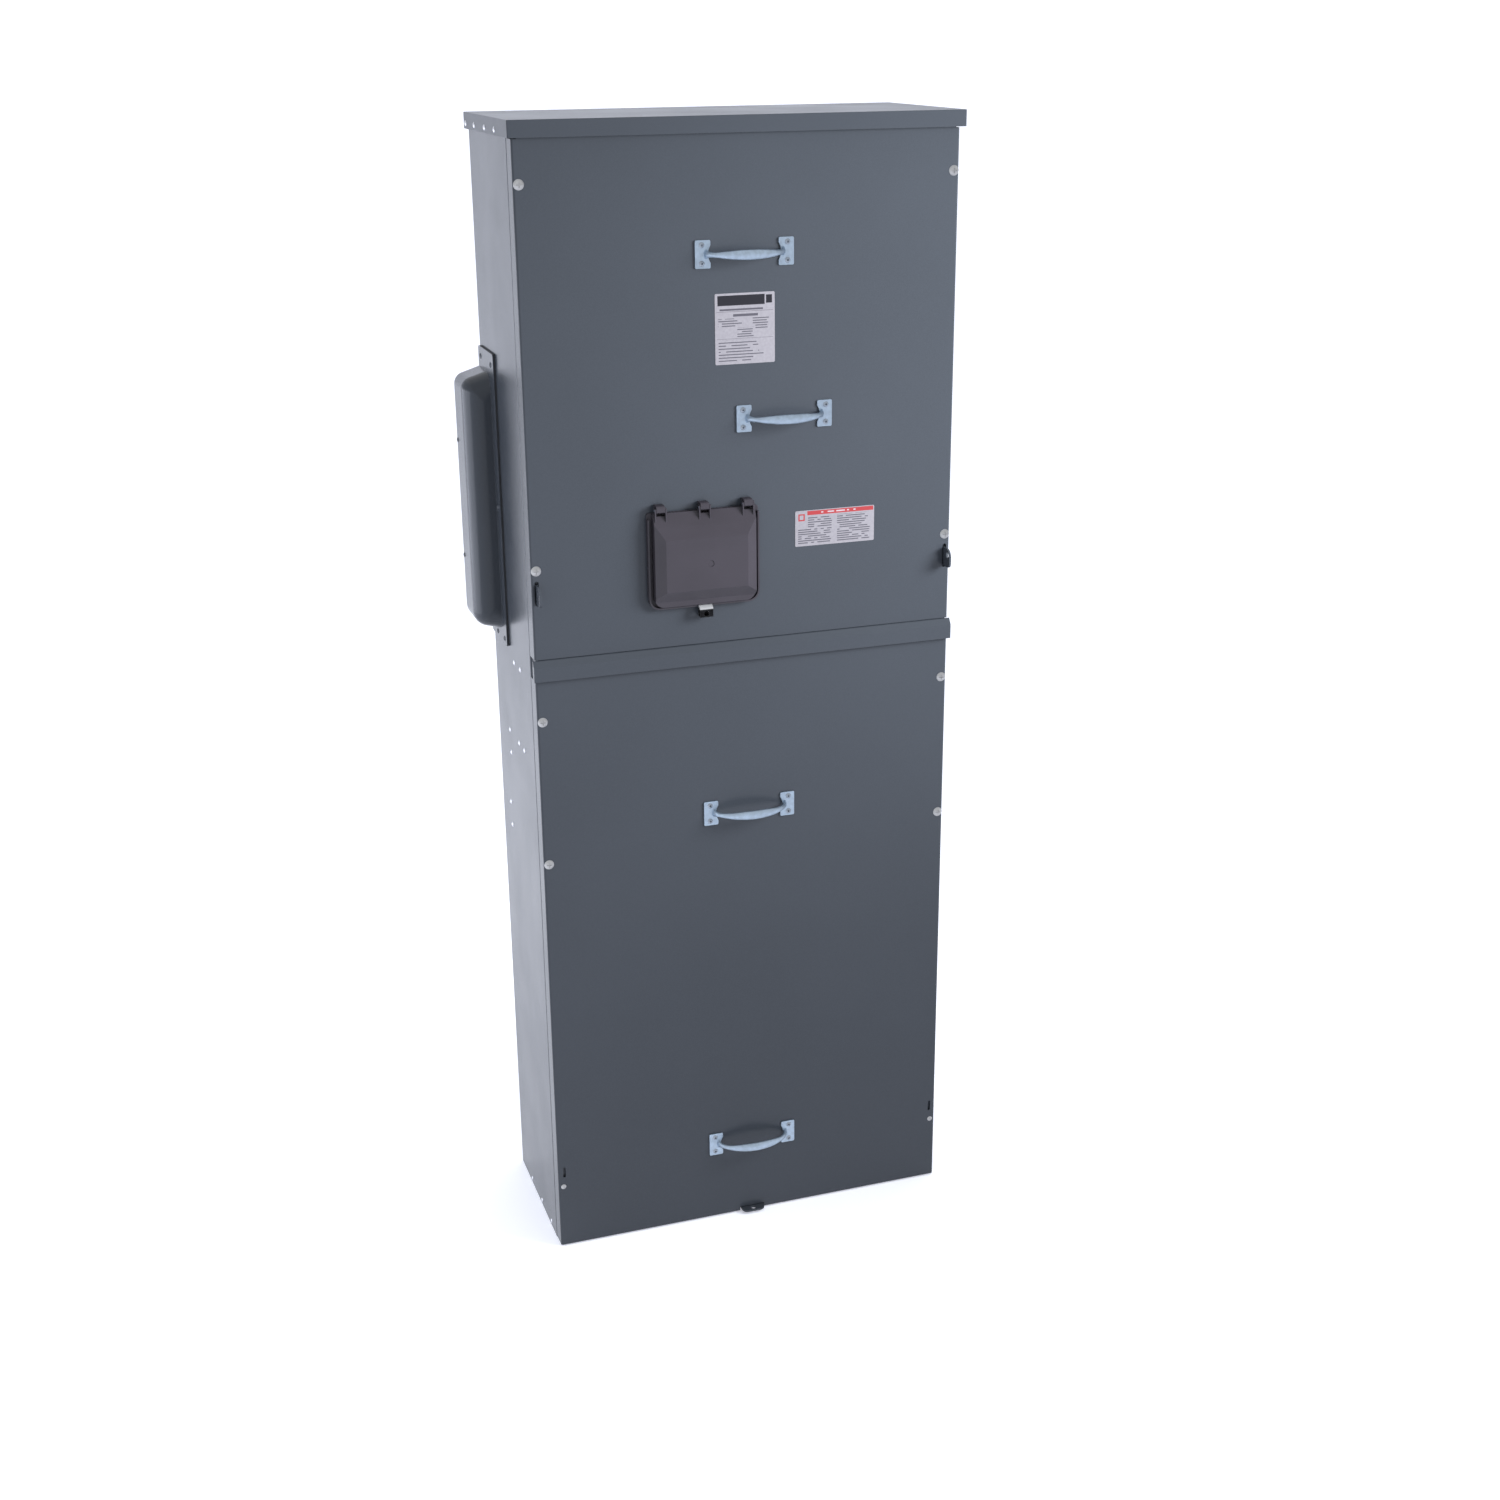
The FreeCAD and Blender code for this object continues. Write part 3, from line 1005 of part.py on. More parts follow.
def load_strap(phase):
    """Bent strap from a breaker terminal over the pan to its cross bar."""
    z = BAR_Z[phase]
    if phase == "a":
        points = [(BAR_FACE, z - 20), (BAR_FACE, STRAP_TOP)]
    else:
        run = BAR_FACE - 19
        points = [(BAR_FACE, z - 22), (BAR_FACE, z + 28), (run, z + 28), (run, STRAP_TOP)]
    points += [(STRAP_FRONT, STRAP_TOP), (STRAP_FRONT, BREAKER_Z[1] - 17)]
    x = PHASE_X[PHASES.index(phase)]
    strap = prism(strip(points, STRAP_THICK, 3), "yz", around(x, STRAP_HALF))
    terminal = bolt_holes([(x, UPPER_TERMINAL_Z)], STRAP_FRONT - 10)
    return strap.cut(bolt_holes(bar_bolt_points(phase), BAR_FACE - 15) + terminal)


def line_bolt_points(x):
    """Bolts of a line bar: breaker terminal, insulator and lug tang."""
    return [(x, LOWER_TERMINAL_Z), (x, CHANNEL_MID), (x, LUG_BOLT_Z)]


def line_bar(phase):
    """Straight vertical bar from the lug to the breaker's lower terminal."""
    x = PHASE_X[PHASES.index(phase)]
    bar = plate(around(x, STRAP_HALF), (STRAP_FRONT, STRAP_FRONT + STRAP_THICK),
                (LUG_Z[0] - 8, BREAKER_Z[0] + 22), 2)
    return bar.cut(bolt_holes(line_bolt_points(x), STRAP_FRONT - 10))


def neutral_riser():
    """Vertical neutral bar from the cross bar to its lug."""
    bar = plate(around(RISER_X, STRAP_HALF), (BAR_FACE - BAR_THICK, BAR_FACE),
                (LUG_Z[0] - 8, BAR_Z["neutral"] + BAR_HALF), 2)
    points = bar_bolt_points("neutral") + [(RISER_X, LUG_BOLT_Z), (RISER_X, RISER_STANDOFF_Z)]
    return bar.cut(bolt_holes(points, BAR_FACE - 18))


def lug(x, back):
    """Mechanical lug: a bored block with a bolted tang; its back lies against a bar."""
    front = back - LUG_DEPTH
    middle = back - LUG_DEPTH / 2
    body = box(around(x, LUG_HALF), (front, back), LUG_Z)
    body = fillet_where(body, 3, lambda p: abs(p.z - sum(LUG_Z) / 2) < 0.1)
    tang = plate(around(x, TANG_HALF), (back - TANG_THICK, back),
                 (LUG_Z[1] - 6, LUG_Z[1] + TANG_RISE), 3)
    bore = rod((x, middle, LUG_Z[0] - 1), (0, 0, 1), LUG_BORE, LUG_Z[1] - LUG_Z[0] + 2)
    screws = [rod((x, front - 1, z), (0, 1, 0), 5.2, LUG_DEPTH / 2) for z in lug_screw_heights()]
    bolt = rod((x, front, LUG_BOLT_Z), (0, 1, 0), BOLT_HOLE, LUG_DEPTH + 2)
    bore_in_tang = rod((x, middle, LUG_Z[1] - 1), (0, 0, 1), LUG_BORE, 40)
    return fuse([body, tang.cut(bore_in_tang)]).cut([bore, bolt] + screws)


def lug_screw_heights():
    """Heights of a lug's two set screws."""
    return (LUG_Z[0] + 15, LUG_Z[1] - 15)


def lug_set_screws():
    """Set screws of all lugs and of the ground bar."""
    screws = []
    for x, back in [(x, STRAP_FRONT) for x in PHASE_X] + [(RISER_X, BAR_FACE - BAR_THICK)]:
        for z in lug_screw_heights():
            body = rod((x, back - 44.5, z), (0, 1, 0), 5.0, 15)
            socket = prism([(3 * math.cos(math.radians(60 * k)), 3 * math.sin(math.radians(60 * k)))
                            for k in range(6)], "xy", (0, 6))
            socket = place(socket, (x, back - 39.5, z), (0, -1, 0))
            screws.append(body.cut(socket))
    for z in ground_points():
        screws.append(screw((GROUND_X[1], GROUND_Y, z), (1, 0, 0), 3.6, 2, 5))
    return screws


def ground_points():
    """Heights of the ground bar's wire holes."""
    return [GROUND_Z[0] + 16 + 26 * k for k in range(5)]


def ground_bar():
    """Ground bar on the left wall, on two riveted feet."""
    bar = plate(GROUND_X, around(GROUND_Y, 7), GROUND_Z, 1.5, "xz")
    feet = [box((-WALL_IN, GROUND_X[0]), around(GROUND_Y, 7), around(z, 8)) for _, z in GROUND_RIVETS]
    wires = [rod((sum(GROUND_X) / 2, GROUND_Y - 10, z), (0, 1, 0), 3.4, 20) for z in ground_points()]
    taps = [rod((GROUND_X[1] + 1, GROUND_Y, z), (-1, 0, 0), 2.2, 7) for z in ground_points()]
    return fuse([bar] + feet).cut(wires + taps + cross_holes(GROUND_RIVETS, -1, 6))


def bus_supports():
    """Two insulating posts on the back panel, slotted for the four cross bars."""
    posts = []
    for x in (-SUPPORT_X, SUPPORT_X):
        post = box(around(x, SUPPORT_HALF), (BAR_FACE - SUPPORT_PROUD, BACK - SHEET), SUPPORT_Z)
        slots = [box(around(x, 20), (BAR_FACE - 0.3, BAR_FACE + BAR_THICK + 0.3),
                     around(z, BAR_HALF + 0.3)) for z in BAR_Z.values()]
        posts.append(post.cut(slots))
    return posts


def ribbed_insulator(start, axis, length):
    """Standoff insulator with three ribs."""
    pieces = [rod((0, 0, 0), (0, 0, 1), 14, length)]
    for k in range(3):
        pieces.append(rod((0, 0, length * (0.2 + 0.25 * k)), (0, 0, 1), 18, length * 0.1))
    hole = rod((0, 0, -1), (0, 0, 1), BOLT_HOLE, length + 2)
    return place(fuse(pieces).cut(hole), start, axis)


def bus_insulators():
    """Standoffs behind the line bars and behind the neutral riser."""
    back = STRAP_FRONT + STRAP_THICK
    posts = [ribbed_insulator((x, back, CHANNEL_MID), (0, 1, 0), CHANNEL_FACE - back)
             for x in PHASE_X]
    posts.append(ribbed_insulator((RISER_X, BAR_FACE, RISER_STANDOFF_Z), (0, 1, 0),
                                  BACK - SHEET - BAR_FACE))
    return posts


def line_support_channel():
    """Channel across the pull space with deep end plates riveted to the side walls."""
    low, high = CHANNEL_Z
    points = [(CHANNEL_BACK, high), (CHANNEL_FACE, high), (CHANNEL_FACE, low), (CHANNEL_BACK, low)]
    channel = prism(strip(points, SHEET), "yz", around(0, WALL_IN - 0.2))
    pieces = [channel]
    for side in (-1, 1):
        inner, outer = sorted((side * (WALL_IN - 0.2 - SHEET), side * (WALL_IN - 0.2)))
        pieces.append(box((inner, outer), CHANNEL_END_Y, (low, high)))
    cuts = bolt_holes([(x, CHANNEL_MID) for x in PHASE_X], CHANNEL_FACE - 5)
    cuts += cross_holes(CHANNEL_RIVETS, -1, 3 * SHEET) + cross_holes(CHANNEL_RIVETS, 1, 3 * SHEET)
    return fuse(pieces).cut(cuts)


def bus_bolts():
    """Hexagon bolts of the straps, bars, lugs and insulators."""
    forward = (0, -1, 0)
    bolts = []
    for name in BAR_Z:
        thick = BAR_THICK if name == "neutral" else STRAP_THICK
        for x, z in bar_bolt_points(name):
            bolts.append(hex_bolt((x, BAR_FACE - thick, z), forward, *BOLT_M10,
                                  thick + BAR_THICK + 8))
    for x in PHASE_X:
        bolts.append(hex_bolt((x, STRAP_FRONT, UPPER_TERMINAL_Z), forward, *BOLT_M8, 16))
        bolts.append(hex_bolt((x, STRAP_FRONT, LOWER_TERMINAL_Z), forward, *BOLT_M8, 16))
        bolts.append(hex_bolt((x, STRAP_FRONT, CHANNEL_MID), forward, *BOLT_M10, 46))
        bolts.append(hex_bolt((x, STRAP_FRONT - TANG_THICK, LUG_BOLT_Z), forward, *BOLT_M8, 20))
    riser = BAR_FACE - BAR_THICK
    bolts.append(hex_bolt((RISER_X, riser - TANG_THICK, LUG_BOLT_Z), forward, *BOLT_M8, 20))
    bolts.append(hex_bolt((RISER_X, riser, RISER_STANDOFF_Z), forward, *BOLT_M10, 50))
    return bolts


def mounting_pan():
    """Breaker mounting pan with turned-back side edges."""
    low, high = PAN_X
    points = [(low, PAN_FACE + 14), (low, PAN_FACE), (high, PAN_FACE), (high, PAN_FACE + 14)]
    pan = prism(strip(points, PAN_SHEET), "xy", PAN_Z)
    return pan.cut([rod((x, PAN_FACE - 2, z), (0, 1, 0), 4.3, 8) for x, z in PAN_POSTS])


def pan_standoffs():
    """Four threaded posts from the back panel to the mounting pan."""
    start = PAN_FACE + PAN_SHEET
    posts = []
    for x, z in PAN_POSTS:
        post = rod((x, start, z), (0, 1, 0), 7, BACK - SHEET - start)
        nut = hex_bolt((x, PAN_FACE, z), (0, -1, 0), 13, 5, 4, PAN_SHEET)
        posts.append(post.fuse(nut).removeSplitter())
    return posts


# ---------------------------------------------------------------- write the nodes
save("back_panel", back_panel())
save("left_side_panel", side_panel(-1))
save("right_side_panel", side_panel(1))
save("bottom_endwall", bottom_endwall())
save("gland_plate", gland_plate())
save("top_cap", top_cap())
save("top_header", top_header())
save("drip_rail", drip_rail())
save("divider_shelf", divider_shelf())
save("enclosure_rivets", enclosure_rivets())
save("upper_seal_hasps", upper_seal_hasps())
save("bottom_seal_tab", bottom_seal_tab())
save("side_hood", side_hood())
save("hood_gasket", hood_gasket())
save("panel_screws", panel_screws())

save("mounting_pan", mounting_pan())
save("pan_standoffs", pan_standoffs())
save("phase_bus_bars", [cross_bar(phase_name) for phase_name in PHASES])
save("neutral_bus_bar", cross_bar("neutral"))
save("bus_supports", bus_supports())
for phase_name in PHASES:
    save(f"load_strap_{phase_name}", load_strap(phase_name))
save("line_bars", [line_bar(phase_name) for phase_name in PHASES])
save("line_support_channel", line_support_channel())
save("bus_insulators", bus_insulators())
save("neutral_riser", neutral_riser())
save("wire_lugs", [lug(x, STRAP_FRONT) for x in PHASE_X] + [lug(RISER_X, BAR_FACE - BAR_THICK)])
save("lug_set_screws", lug_set_screws())
save("ground_bar", ground_bar())
save("bus_bolts", bus_bolts())

save("breaker_base", breaker_base())
save("breaker_cover", breaker_cover())
save("breaker_screws", breaker_screws())
save("trip_unit", trip_unit())
save("breaker_toggle", breaker_toggle())
save("trip_button", trip_button())
for dial_name in DIAL_X:
    save(dial_name, dial(dial_name))

save("upper_cover", upper_cover())
save("upper_cover_screws", cover_screws(UPPER_SCREW_Z))
save("upper_handle_rivets", handle_rivets(("upper_handle_top", "upper_handle_bottom")))
save("lower_cover", lower_cover())
save("lower_cover_screws", cover_screws(LOWER_SCREW_Z))
save("lower_seal_screws", lower_seal_screws())
save("lower_handle_rivets", handle_rivets(("lower_handle_top", "lower_handle_bottom")))
for handle_name in HANDLES:
    save(handle_name, pull_handle(handle_name))
save("rating_label", label(*RATING_LABEL))
save("notice_label", label(*NOTICE_LABEL))

save("door_frame", door_frame())
save("door_hinge_pins", door_hinge_pins())
save("door_gasket", door_gasket())
save("door_staple", door_staple())
save("door_lid", door_lid())
save("door_hasp", door_hasp())
save("door_hasp_rivets", door_hasp_rivets())
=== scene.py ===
import json
import math

import bpy
from mathutils import Matrix, Vector


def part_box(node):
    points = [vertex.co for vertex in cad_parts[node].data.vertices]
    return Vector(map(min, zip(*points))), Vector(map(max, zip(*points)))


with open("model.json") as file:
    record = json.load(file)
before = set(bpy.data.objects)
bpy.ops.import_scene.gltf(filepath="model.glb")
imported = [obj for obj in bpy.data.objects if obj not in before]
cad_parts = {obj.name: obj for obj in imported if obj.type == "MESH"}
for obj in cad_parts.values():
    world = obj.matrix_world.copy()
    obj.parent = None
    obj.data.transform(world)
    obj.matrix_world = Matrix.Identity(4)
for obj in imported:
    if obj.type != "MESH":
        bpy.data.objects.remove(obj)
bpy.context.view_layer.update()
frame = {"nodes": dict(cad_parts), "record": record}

# Looks of a floor-standing service section: procedural paint, plating and plastics on the CAD
# pieces, printed labels without lettering, a pale studio and the camera. Metres, Z up, front is -Y.

MM = 0.001

CAMERA_PLACE = (-0.9208, -2.8713, 1.8530)
CAMERA_RIGHT = (0.94646, -0.32274, -0.00773)
CAMERA_UP = (0.11683, 0.32008, 0.94016)
CAMERA_LENS = 48.48
CAMERA_SENSOR = 36.0

# Tones, as linear red, green and blue
PAINT = (0.033, 0.0385, 0.0475)
HANDLE_ZINC = (0.40, 0.485, 0.575)
SCREW_ZINC = (0.47, 0.47, 0.47)
HANDLE_RIVET_SHADED = (0.34, 0.38, 0.43)
# Painted shade: handle rivets are a darker zinc than the handles, standing in for their shaded
# mandrel holes
WALL_RIVET = (0.62, 0.63, 0.66)
HASP_DARK = (0.010, 0.010, 0.011)
HASP_GREY = (0.026, 0.026, 0.028)
# Lighter hasp edges: partly rubbed plating, partly a painted edge highlight
HASP_EDGE_WEAR_AND_HIGHLIGHT = (0.20, 0.20, 0.21)
# Painted highlight: colour of the hasp's upward-facing ledge, standing for the overhead light it
# catches
HASP_LEDGE_HIGHLIGHT = (0.84, 0.85, 0.86)
TIN = (0.72, 0.71, 0.69)
ALUMINIUM = (0.78, 0.79, 0.80)
DOOR_PLASTIC = (0.025, 0.022, 0.029)
BREAKER_PLASTIC = (0.022, 0.022, 0.024)
TOGGLE_PLASTIC = (0.012, 0.012, 0.013)
DIAL_PLASTIC = (0.260, 0.260, 0.230)
BUTTON_RED = (0.380, 0.014, 0.010)
INSULATOR_RED = (0.180, 0.020, 0.012)
RUBBER_DARK = (0.006, 0.006, 0.007)
RUBBER_GREY = (0.022, 0.022, 0.024)
VINYL_DARK = (0.184, 0.179, 0.202)
VINYL_LIGHT = (0.210, 0.205, 0.228)
BLACK_INK = (0.012, 0.012, 0.016)
GREY_INK = (0.060, 0.058, 0.072)
RED_INK = (0.240, 0.032, 0.036)
BAND_GAP = (0.30, 0.27, 0.30)
FLOOR_DARK = (0.85, 0.87, 0.93)
FLOOR_LIGHT = (0.87, 0.89, 0.95)
FLOOR_GLOW = (0.90, 0.91, 1.0)
FLOOR_GLOW_STRENGTH = 0.37
SKY = (0.94, 0.96, 1.0)
SKY_STRENGTH = 0.92
FILL_TINT = (0.84, 0.88, 1.0)

# Roughness, as (low, high)
PAINT_GLOSS = (0.20, 0.27)
CAP_GLOSS = (0.29, 0.37)
PLATE_GLOSS = (0.40, 0.52)

HOOD_RIVETS_FROM_WALL = 20.0 * MM
# Band of the hasp's painted ledge highlight, as distances below the hasp's top
LEDGE_BELOW_HASP_TOP = (7.5 * MM, 6.1 * MM)

# Stretch of the drawing lines on a bar: they run along the direction with the small number
UPRIGHT_LINES = (1.0, 1.0, 0.02)
LUG_LINES = (1.0, 1.0, 0.05)
LEVEL_LINES = (0.02, 1.0, 1.0)

# Studio floor: a sheet that curves up into a wall far behind
FLOOR_HALF_WIDTH = 12.0
FLOOR_FRONT = -9.0
BEND_START = 9.0
BEND_RADIUS = 4.0
BEND_STEPS = 12
WALL_TOP = 9.0


def rgba(tone, factor=1.0):
    """Opaque colour of a tone, made lighter or darker by the factor."""
    return [min(1.0, c * factor) for c in tone] + [1.0]


# ---------------------------------------------------------------- node helpers
class Shader:
    """One material under construction, with short calls for the nodes it is made of."""

    def __init__(self, name):
        self.material = bpy.data.materials.new(name)
        self.material.use_nodes = True
        self.tree = self.material.node_tree
        self.tree.nodes.clear()
        self.place = self.add("ShaderNodeTexCoord").outputs["Object"]
        self.x, _, self.z = self.add("ShaderNodeSeparateXYZ", Vector=self.place).outputs

    def add(self, kind, settings=None, **inputs):
        """New node; an input is a number, a colour or another node's output."""
        made = self.tree.nodes.new(kind)
        for key, value in (settings or {}).items():
            setattr(made, key, value)
        for key, value in inputs.items():
            self.plug(made, key.replace("_", " "), value)
        return made

    def plug(self, made, socket, value):
        """Sets or links one input, given by name or as s0, s1 ... by place in the list."""
        target = made.inputs[int(socket[1:])] if socket[1:].isdigit() else made.inputs[socket]
        if isinstance(value, bpy.types.NodeSocket):
            self.tree.links.new(value, target)
        else:
            target.default_value = value

    def math(self, operation, a, b=0.0, c=0.0):
        return self.add("ShaderNodeMath", {"operation": operation}, s0=a, s1=b, s2=c).outputs[0]

    def product(self, *factors):
        result = factors[0]
        for factor in factors[1:]:
            result = self.math("MULTIPLY", result, factor)
        return result

    def noise(self, scale, detail=2.0, stretch=None):
        """Noise value; scale is cycles per metre, stretch scales the three directions."""
        where = self.place
        if stretch:
            where = self.add("ShaderNodeMapping", Vector=where, Scale=stretch).outputs[0]
        return self.add("ShaderNodeTexNoise", Vector=where, Scale=scale,
                        Detail=detail).outputs["Fac"]

    def ramp(self, value, low, high, start, end):
        """Value spread from low..high to start..end, held at both ends."""
        return self.add("ShaderNodeMapRange", Value=value, From_Min=low, From_Max=high,
                        To_Min=start, To_Max=end).outputs[0]

    def blend(self, mask, first, second):
        """Colour that goes from first to second with the mask."""
        made = self.add("ShaderNodeMix", {"data_type": "RGBA"}, s0=mask)
        self.plug(made, "s6", first)
        self.plug(made, "s7", second)
        return made.outputs[2]

    def mottled(self, noise, first, second):
        """Colour in soft patches of first and second."""
        return self.blend(self.ramp(noise, 0.3, 0.7, 0.0, 1.0), first, second)

    def bump(self, height, depth, normal=None):
        """Surface normal with relief that is depth metres deep."""
        made = self.add("ShaderNodeBump", Strength=1.0, Distance=depth, Height=height)
        if normal:
            self.plug(made, "Normal", normal)
        return made.outputs[0]

    def rounded(self, radius):
        """Normal that looks rounded at sharp edges."""
        return self.add("ShaderNodeBevel", {"samples": 4}, Radius=radius).outputs[0]

    def edges(self, radius, strength):
        """Mask that grows towards 1 along sharp edges."""
        flat = self.add("ShaderNodeNewGeometry").outputs["Normal"]
        dot = self.add("ShaderNodeVectorMath", {"operation": "DOT_PRODUCT"}, s0=flat,
                       s1=self.rounded(radius)).outputs["Value"]
        return self.math("MULTIPLY", self.math("SUBTRACT", 1.0, dot), strength)

    def finish(self, colour, roughness, normal, metallic=0.0, **fixed):
        surface = self.add("ShaderNodeBsdfPrincipled", Base_Color=colour, Roughness=roughness,
                           Normal=normal, Metallic=metallic, **fixed)
        self.add("ShaderNodeOutputMaterial", Surface=surface.outputs[0])
        return self.material


# ---------------------------------------------------------------- materials
def paint(name, tone, gloss):
    """Semi-gloss powder coat on sheet steel: orange peel, the sheet's slow waves, faint dust, and
    lighter sharp edges that are partly worn-thin coat and partly a painted edge highlight.
    """
    s = Shader(name)
    cloud = s.noise(3.0, 3.0)
    grain = s.noise(1400.0, 1.0)
    body = s.mottled(cloud, rgba(tone, 0.94), rgba(tone, 1.06))
    speckled = s.blend(s.ramp(grain, 0.35, 0.75, 0.0, 0.35), body, rgba(tone, 1.5))
    scuffs = s.ramp(s.noise(60.0, 3.0), 0.35, 0.7, 0.1, 0.55)
    # Lighter sharp edges, broken up by scuff noise: partly worn-thin coat, partly a painted edge
    # highlight
    wear_and_edge_highlight = s.blend(s.product(s.edges(0.9 * MM, 6.0), scuffs), speckled, rgba(tone, 2.2))
    roughness = s.ramp(s.noise(9.0, 4.0), 0.25, 0.75, *gloss)
    wavy = s.bump(s.noise(5.0, 1.0), 0.5 * MM, s.rounded(0.7 * MM))
    peel = s.bump(s.noise(420.0, 2.0), 0.035 * MM, wavy)
    return s.finish(wear_and_edge_highlight, roughness, peel, Specular_IOR_Level=0.28)


def plated_steel(name, tone):
    """Bright zinc plate: soft mottling, fine scratches, and lighter sharp edges that are partly
    wear and partly a painted edge highlight.
    """
    s = Shader(name)
    mottle = s.noise(160.0, 4.0)
    scratches = s.noise(900.0, 3.0)
    colour = s.mottled(mottle, rgba(tone, 0.86), rgba(tone, 1.1))
    # Lighter sharp edges: partly rubbed plating, partly a painted edge highlight
    wear_and_edge_highlight = s.blend(s.edges(0.5 * MM, 3.0), colour, rgba(tone, 1.2))
    uneven = s.math("ADD", mottle, s.math("MULTIPLY", scratches, 0.6))
    roughness = s.ramp(uneven, 0.5, 1.1, *PLATE_GLOSS)
    normal = s.bump(scratches, 0.004 * MM, s.rounded(0.35 * MM))
    return s.finish(wear_and_edge_highlight, roughness, normal, 1.0)


def wall_rivet_steel(name, bare, tone):
    """Bare steel rivets of the walls and the cap; the hood's two rivets are painted."""
    s = Shader(name)
    mottle = s.noise(220.0, 4.0)
    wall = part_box("left_side_panel")[0].x
    on_hood = s.math("LESS_THAN", s.x, wall - HOOD_RIVETS_FROM_WALL)
    steel = s.mottled(mottle, rgba(bare, 0.82), rgba(bare))
    colour = s.blend(on_hood, steel, rgba(tone, 0.5))
    metal = s.ramp(on_hood, 0.0, 1.0, 1.0, 0.0)
    roughness = s.ramp(mottle, 0.3, 0.7, 0.38, 0.52)
    return s.finish(colour, roughness, s.bump(mottle, 0.01 * MM, s.rounded(0.3 * MM)), metal)


def hasp_steel(name):
    """Dark plated steel of the door's hasp, with lighter edges that are partly rubbed plating and
    partly a painted edge highlight; the ledge above the drilled plate is coloured near white, a
    painted highlight for the overhead light that the upward-facing ledge catches.
    """
    s = Shader(name)
    mottle = s.noise(220.0, 4.0)
    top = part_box("door_hasp")[1].z
    height = s.math("ADD", s.z, s.math("MULTIPLY", mottle, 1.2 * MM))
    # Painted highlight: a band just below the hasp's top, where the ledge faces up, is coloured
    # near white
    ledge_highlight = s.ramp(height, *(top - below for below in LEDGE_BELOW_HASP_TOP), 0.0, 1.0)
    dark = s.mottled(mottle, rgba(HASP_DARK), rgba(HASP_GREY))
    # Lighter edges: partly rubbed plating, partly a painted edge highlight
    rubbed_and_edge_lit = s.blend(s.edges(0.4 * MM, 4.0), dark, rgba(HASP_EDGE_WEAR_AND_HIGHLIGHT))
    colour = s.blend(ledge_highlight, rubbed_and_edge_lit, rgba(HASP_LEDGE_HIGHLIGHT))
    roughness = s.ramp(mottle, 0.3, 0.7, 0.36, 0.50)
    return s.finish(colour, roughness, s.bump(mottle, 0.01 * MM, s.rounded(0.3 * MM)), 1.0)


def drawn_bar(name, tone, stretch):
    """Tin-plated or extruded bar: long drawing lines along its length and dull patches."""
    s = Shader(name)
    lines = s.noise(700.0, 3.0, stretch)
    patches = s.noise(40.0, 4.0)
    colour = s.blend(s.ramp(patches, 0.35, 0.7, 0.0, 1.0), rgba(tone, 0.80), rgba(tone))
    lined = s.blend(s.ramp(lines, 0.45, 0.8, 0.0, 0.35), colour, rgba(tone, 0.6))
    roughness = s.ramp(patches, 0.3, 0.7, 0.42, 0.30)
    normal = s.bump(lines, 0.03 * MM, s.rounded(0.5 * MM))
    return s.finish(lined, roughness, normal, 1.0)


def moulding(name, tone, gloss, grain_scale, grain_depth, edge=1.7):
    """Moulded plastic with a fine spark-eroded texture; edge is how much lighter its edges are,
    partly wear and partly a painted edge highlight.
    """
    s = Shader(name)
    grain = s.noise(grain_scale, 2.0)
    flow = s.noise(14.0, 3.0)
    colour = s.mottled(flow, rgba(tone, 0.90), rgba(tone, 1.10))
    # Lighter sharp edges: partly wear, partly a painted edge highlight
    wear_and_edge_highlight = s.blend(s.edges(0.6 * MM, 3.0), colour, rgba(tone, edge))
    roughness = s.ramp(grain, 0.3, 0.7, gloss[1], gloss[0])
    normal = s.bump(grain, grain_depth, s.rounded(0.5 * MM))
    return s.finish(wear_and_edge_highlight, roughness, normal)


def rubber(name):
    """Closed-cell gasket: dull black with tiny cells."""
    s = Shader(name)
    cells = s.add("ShaderNodeTexVoronoi", Vector=s.place, Scale=900.0).outputs["Distance"]
    colour = s.blend(s.noise(120.0, 3.0), rgba(RUBBER_DARK), rgba(RUBBER_GREY))
    return s.finish(colour, s.ramp(cells, 0.0, 0.6, 0.92, 0.75),
                    s.bump(cells, 0.12 * MM, s.rounded(0.6 * MM)))


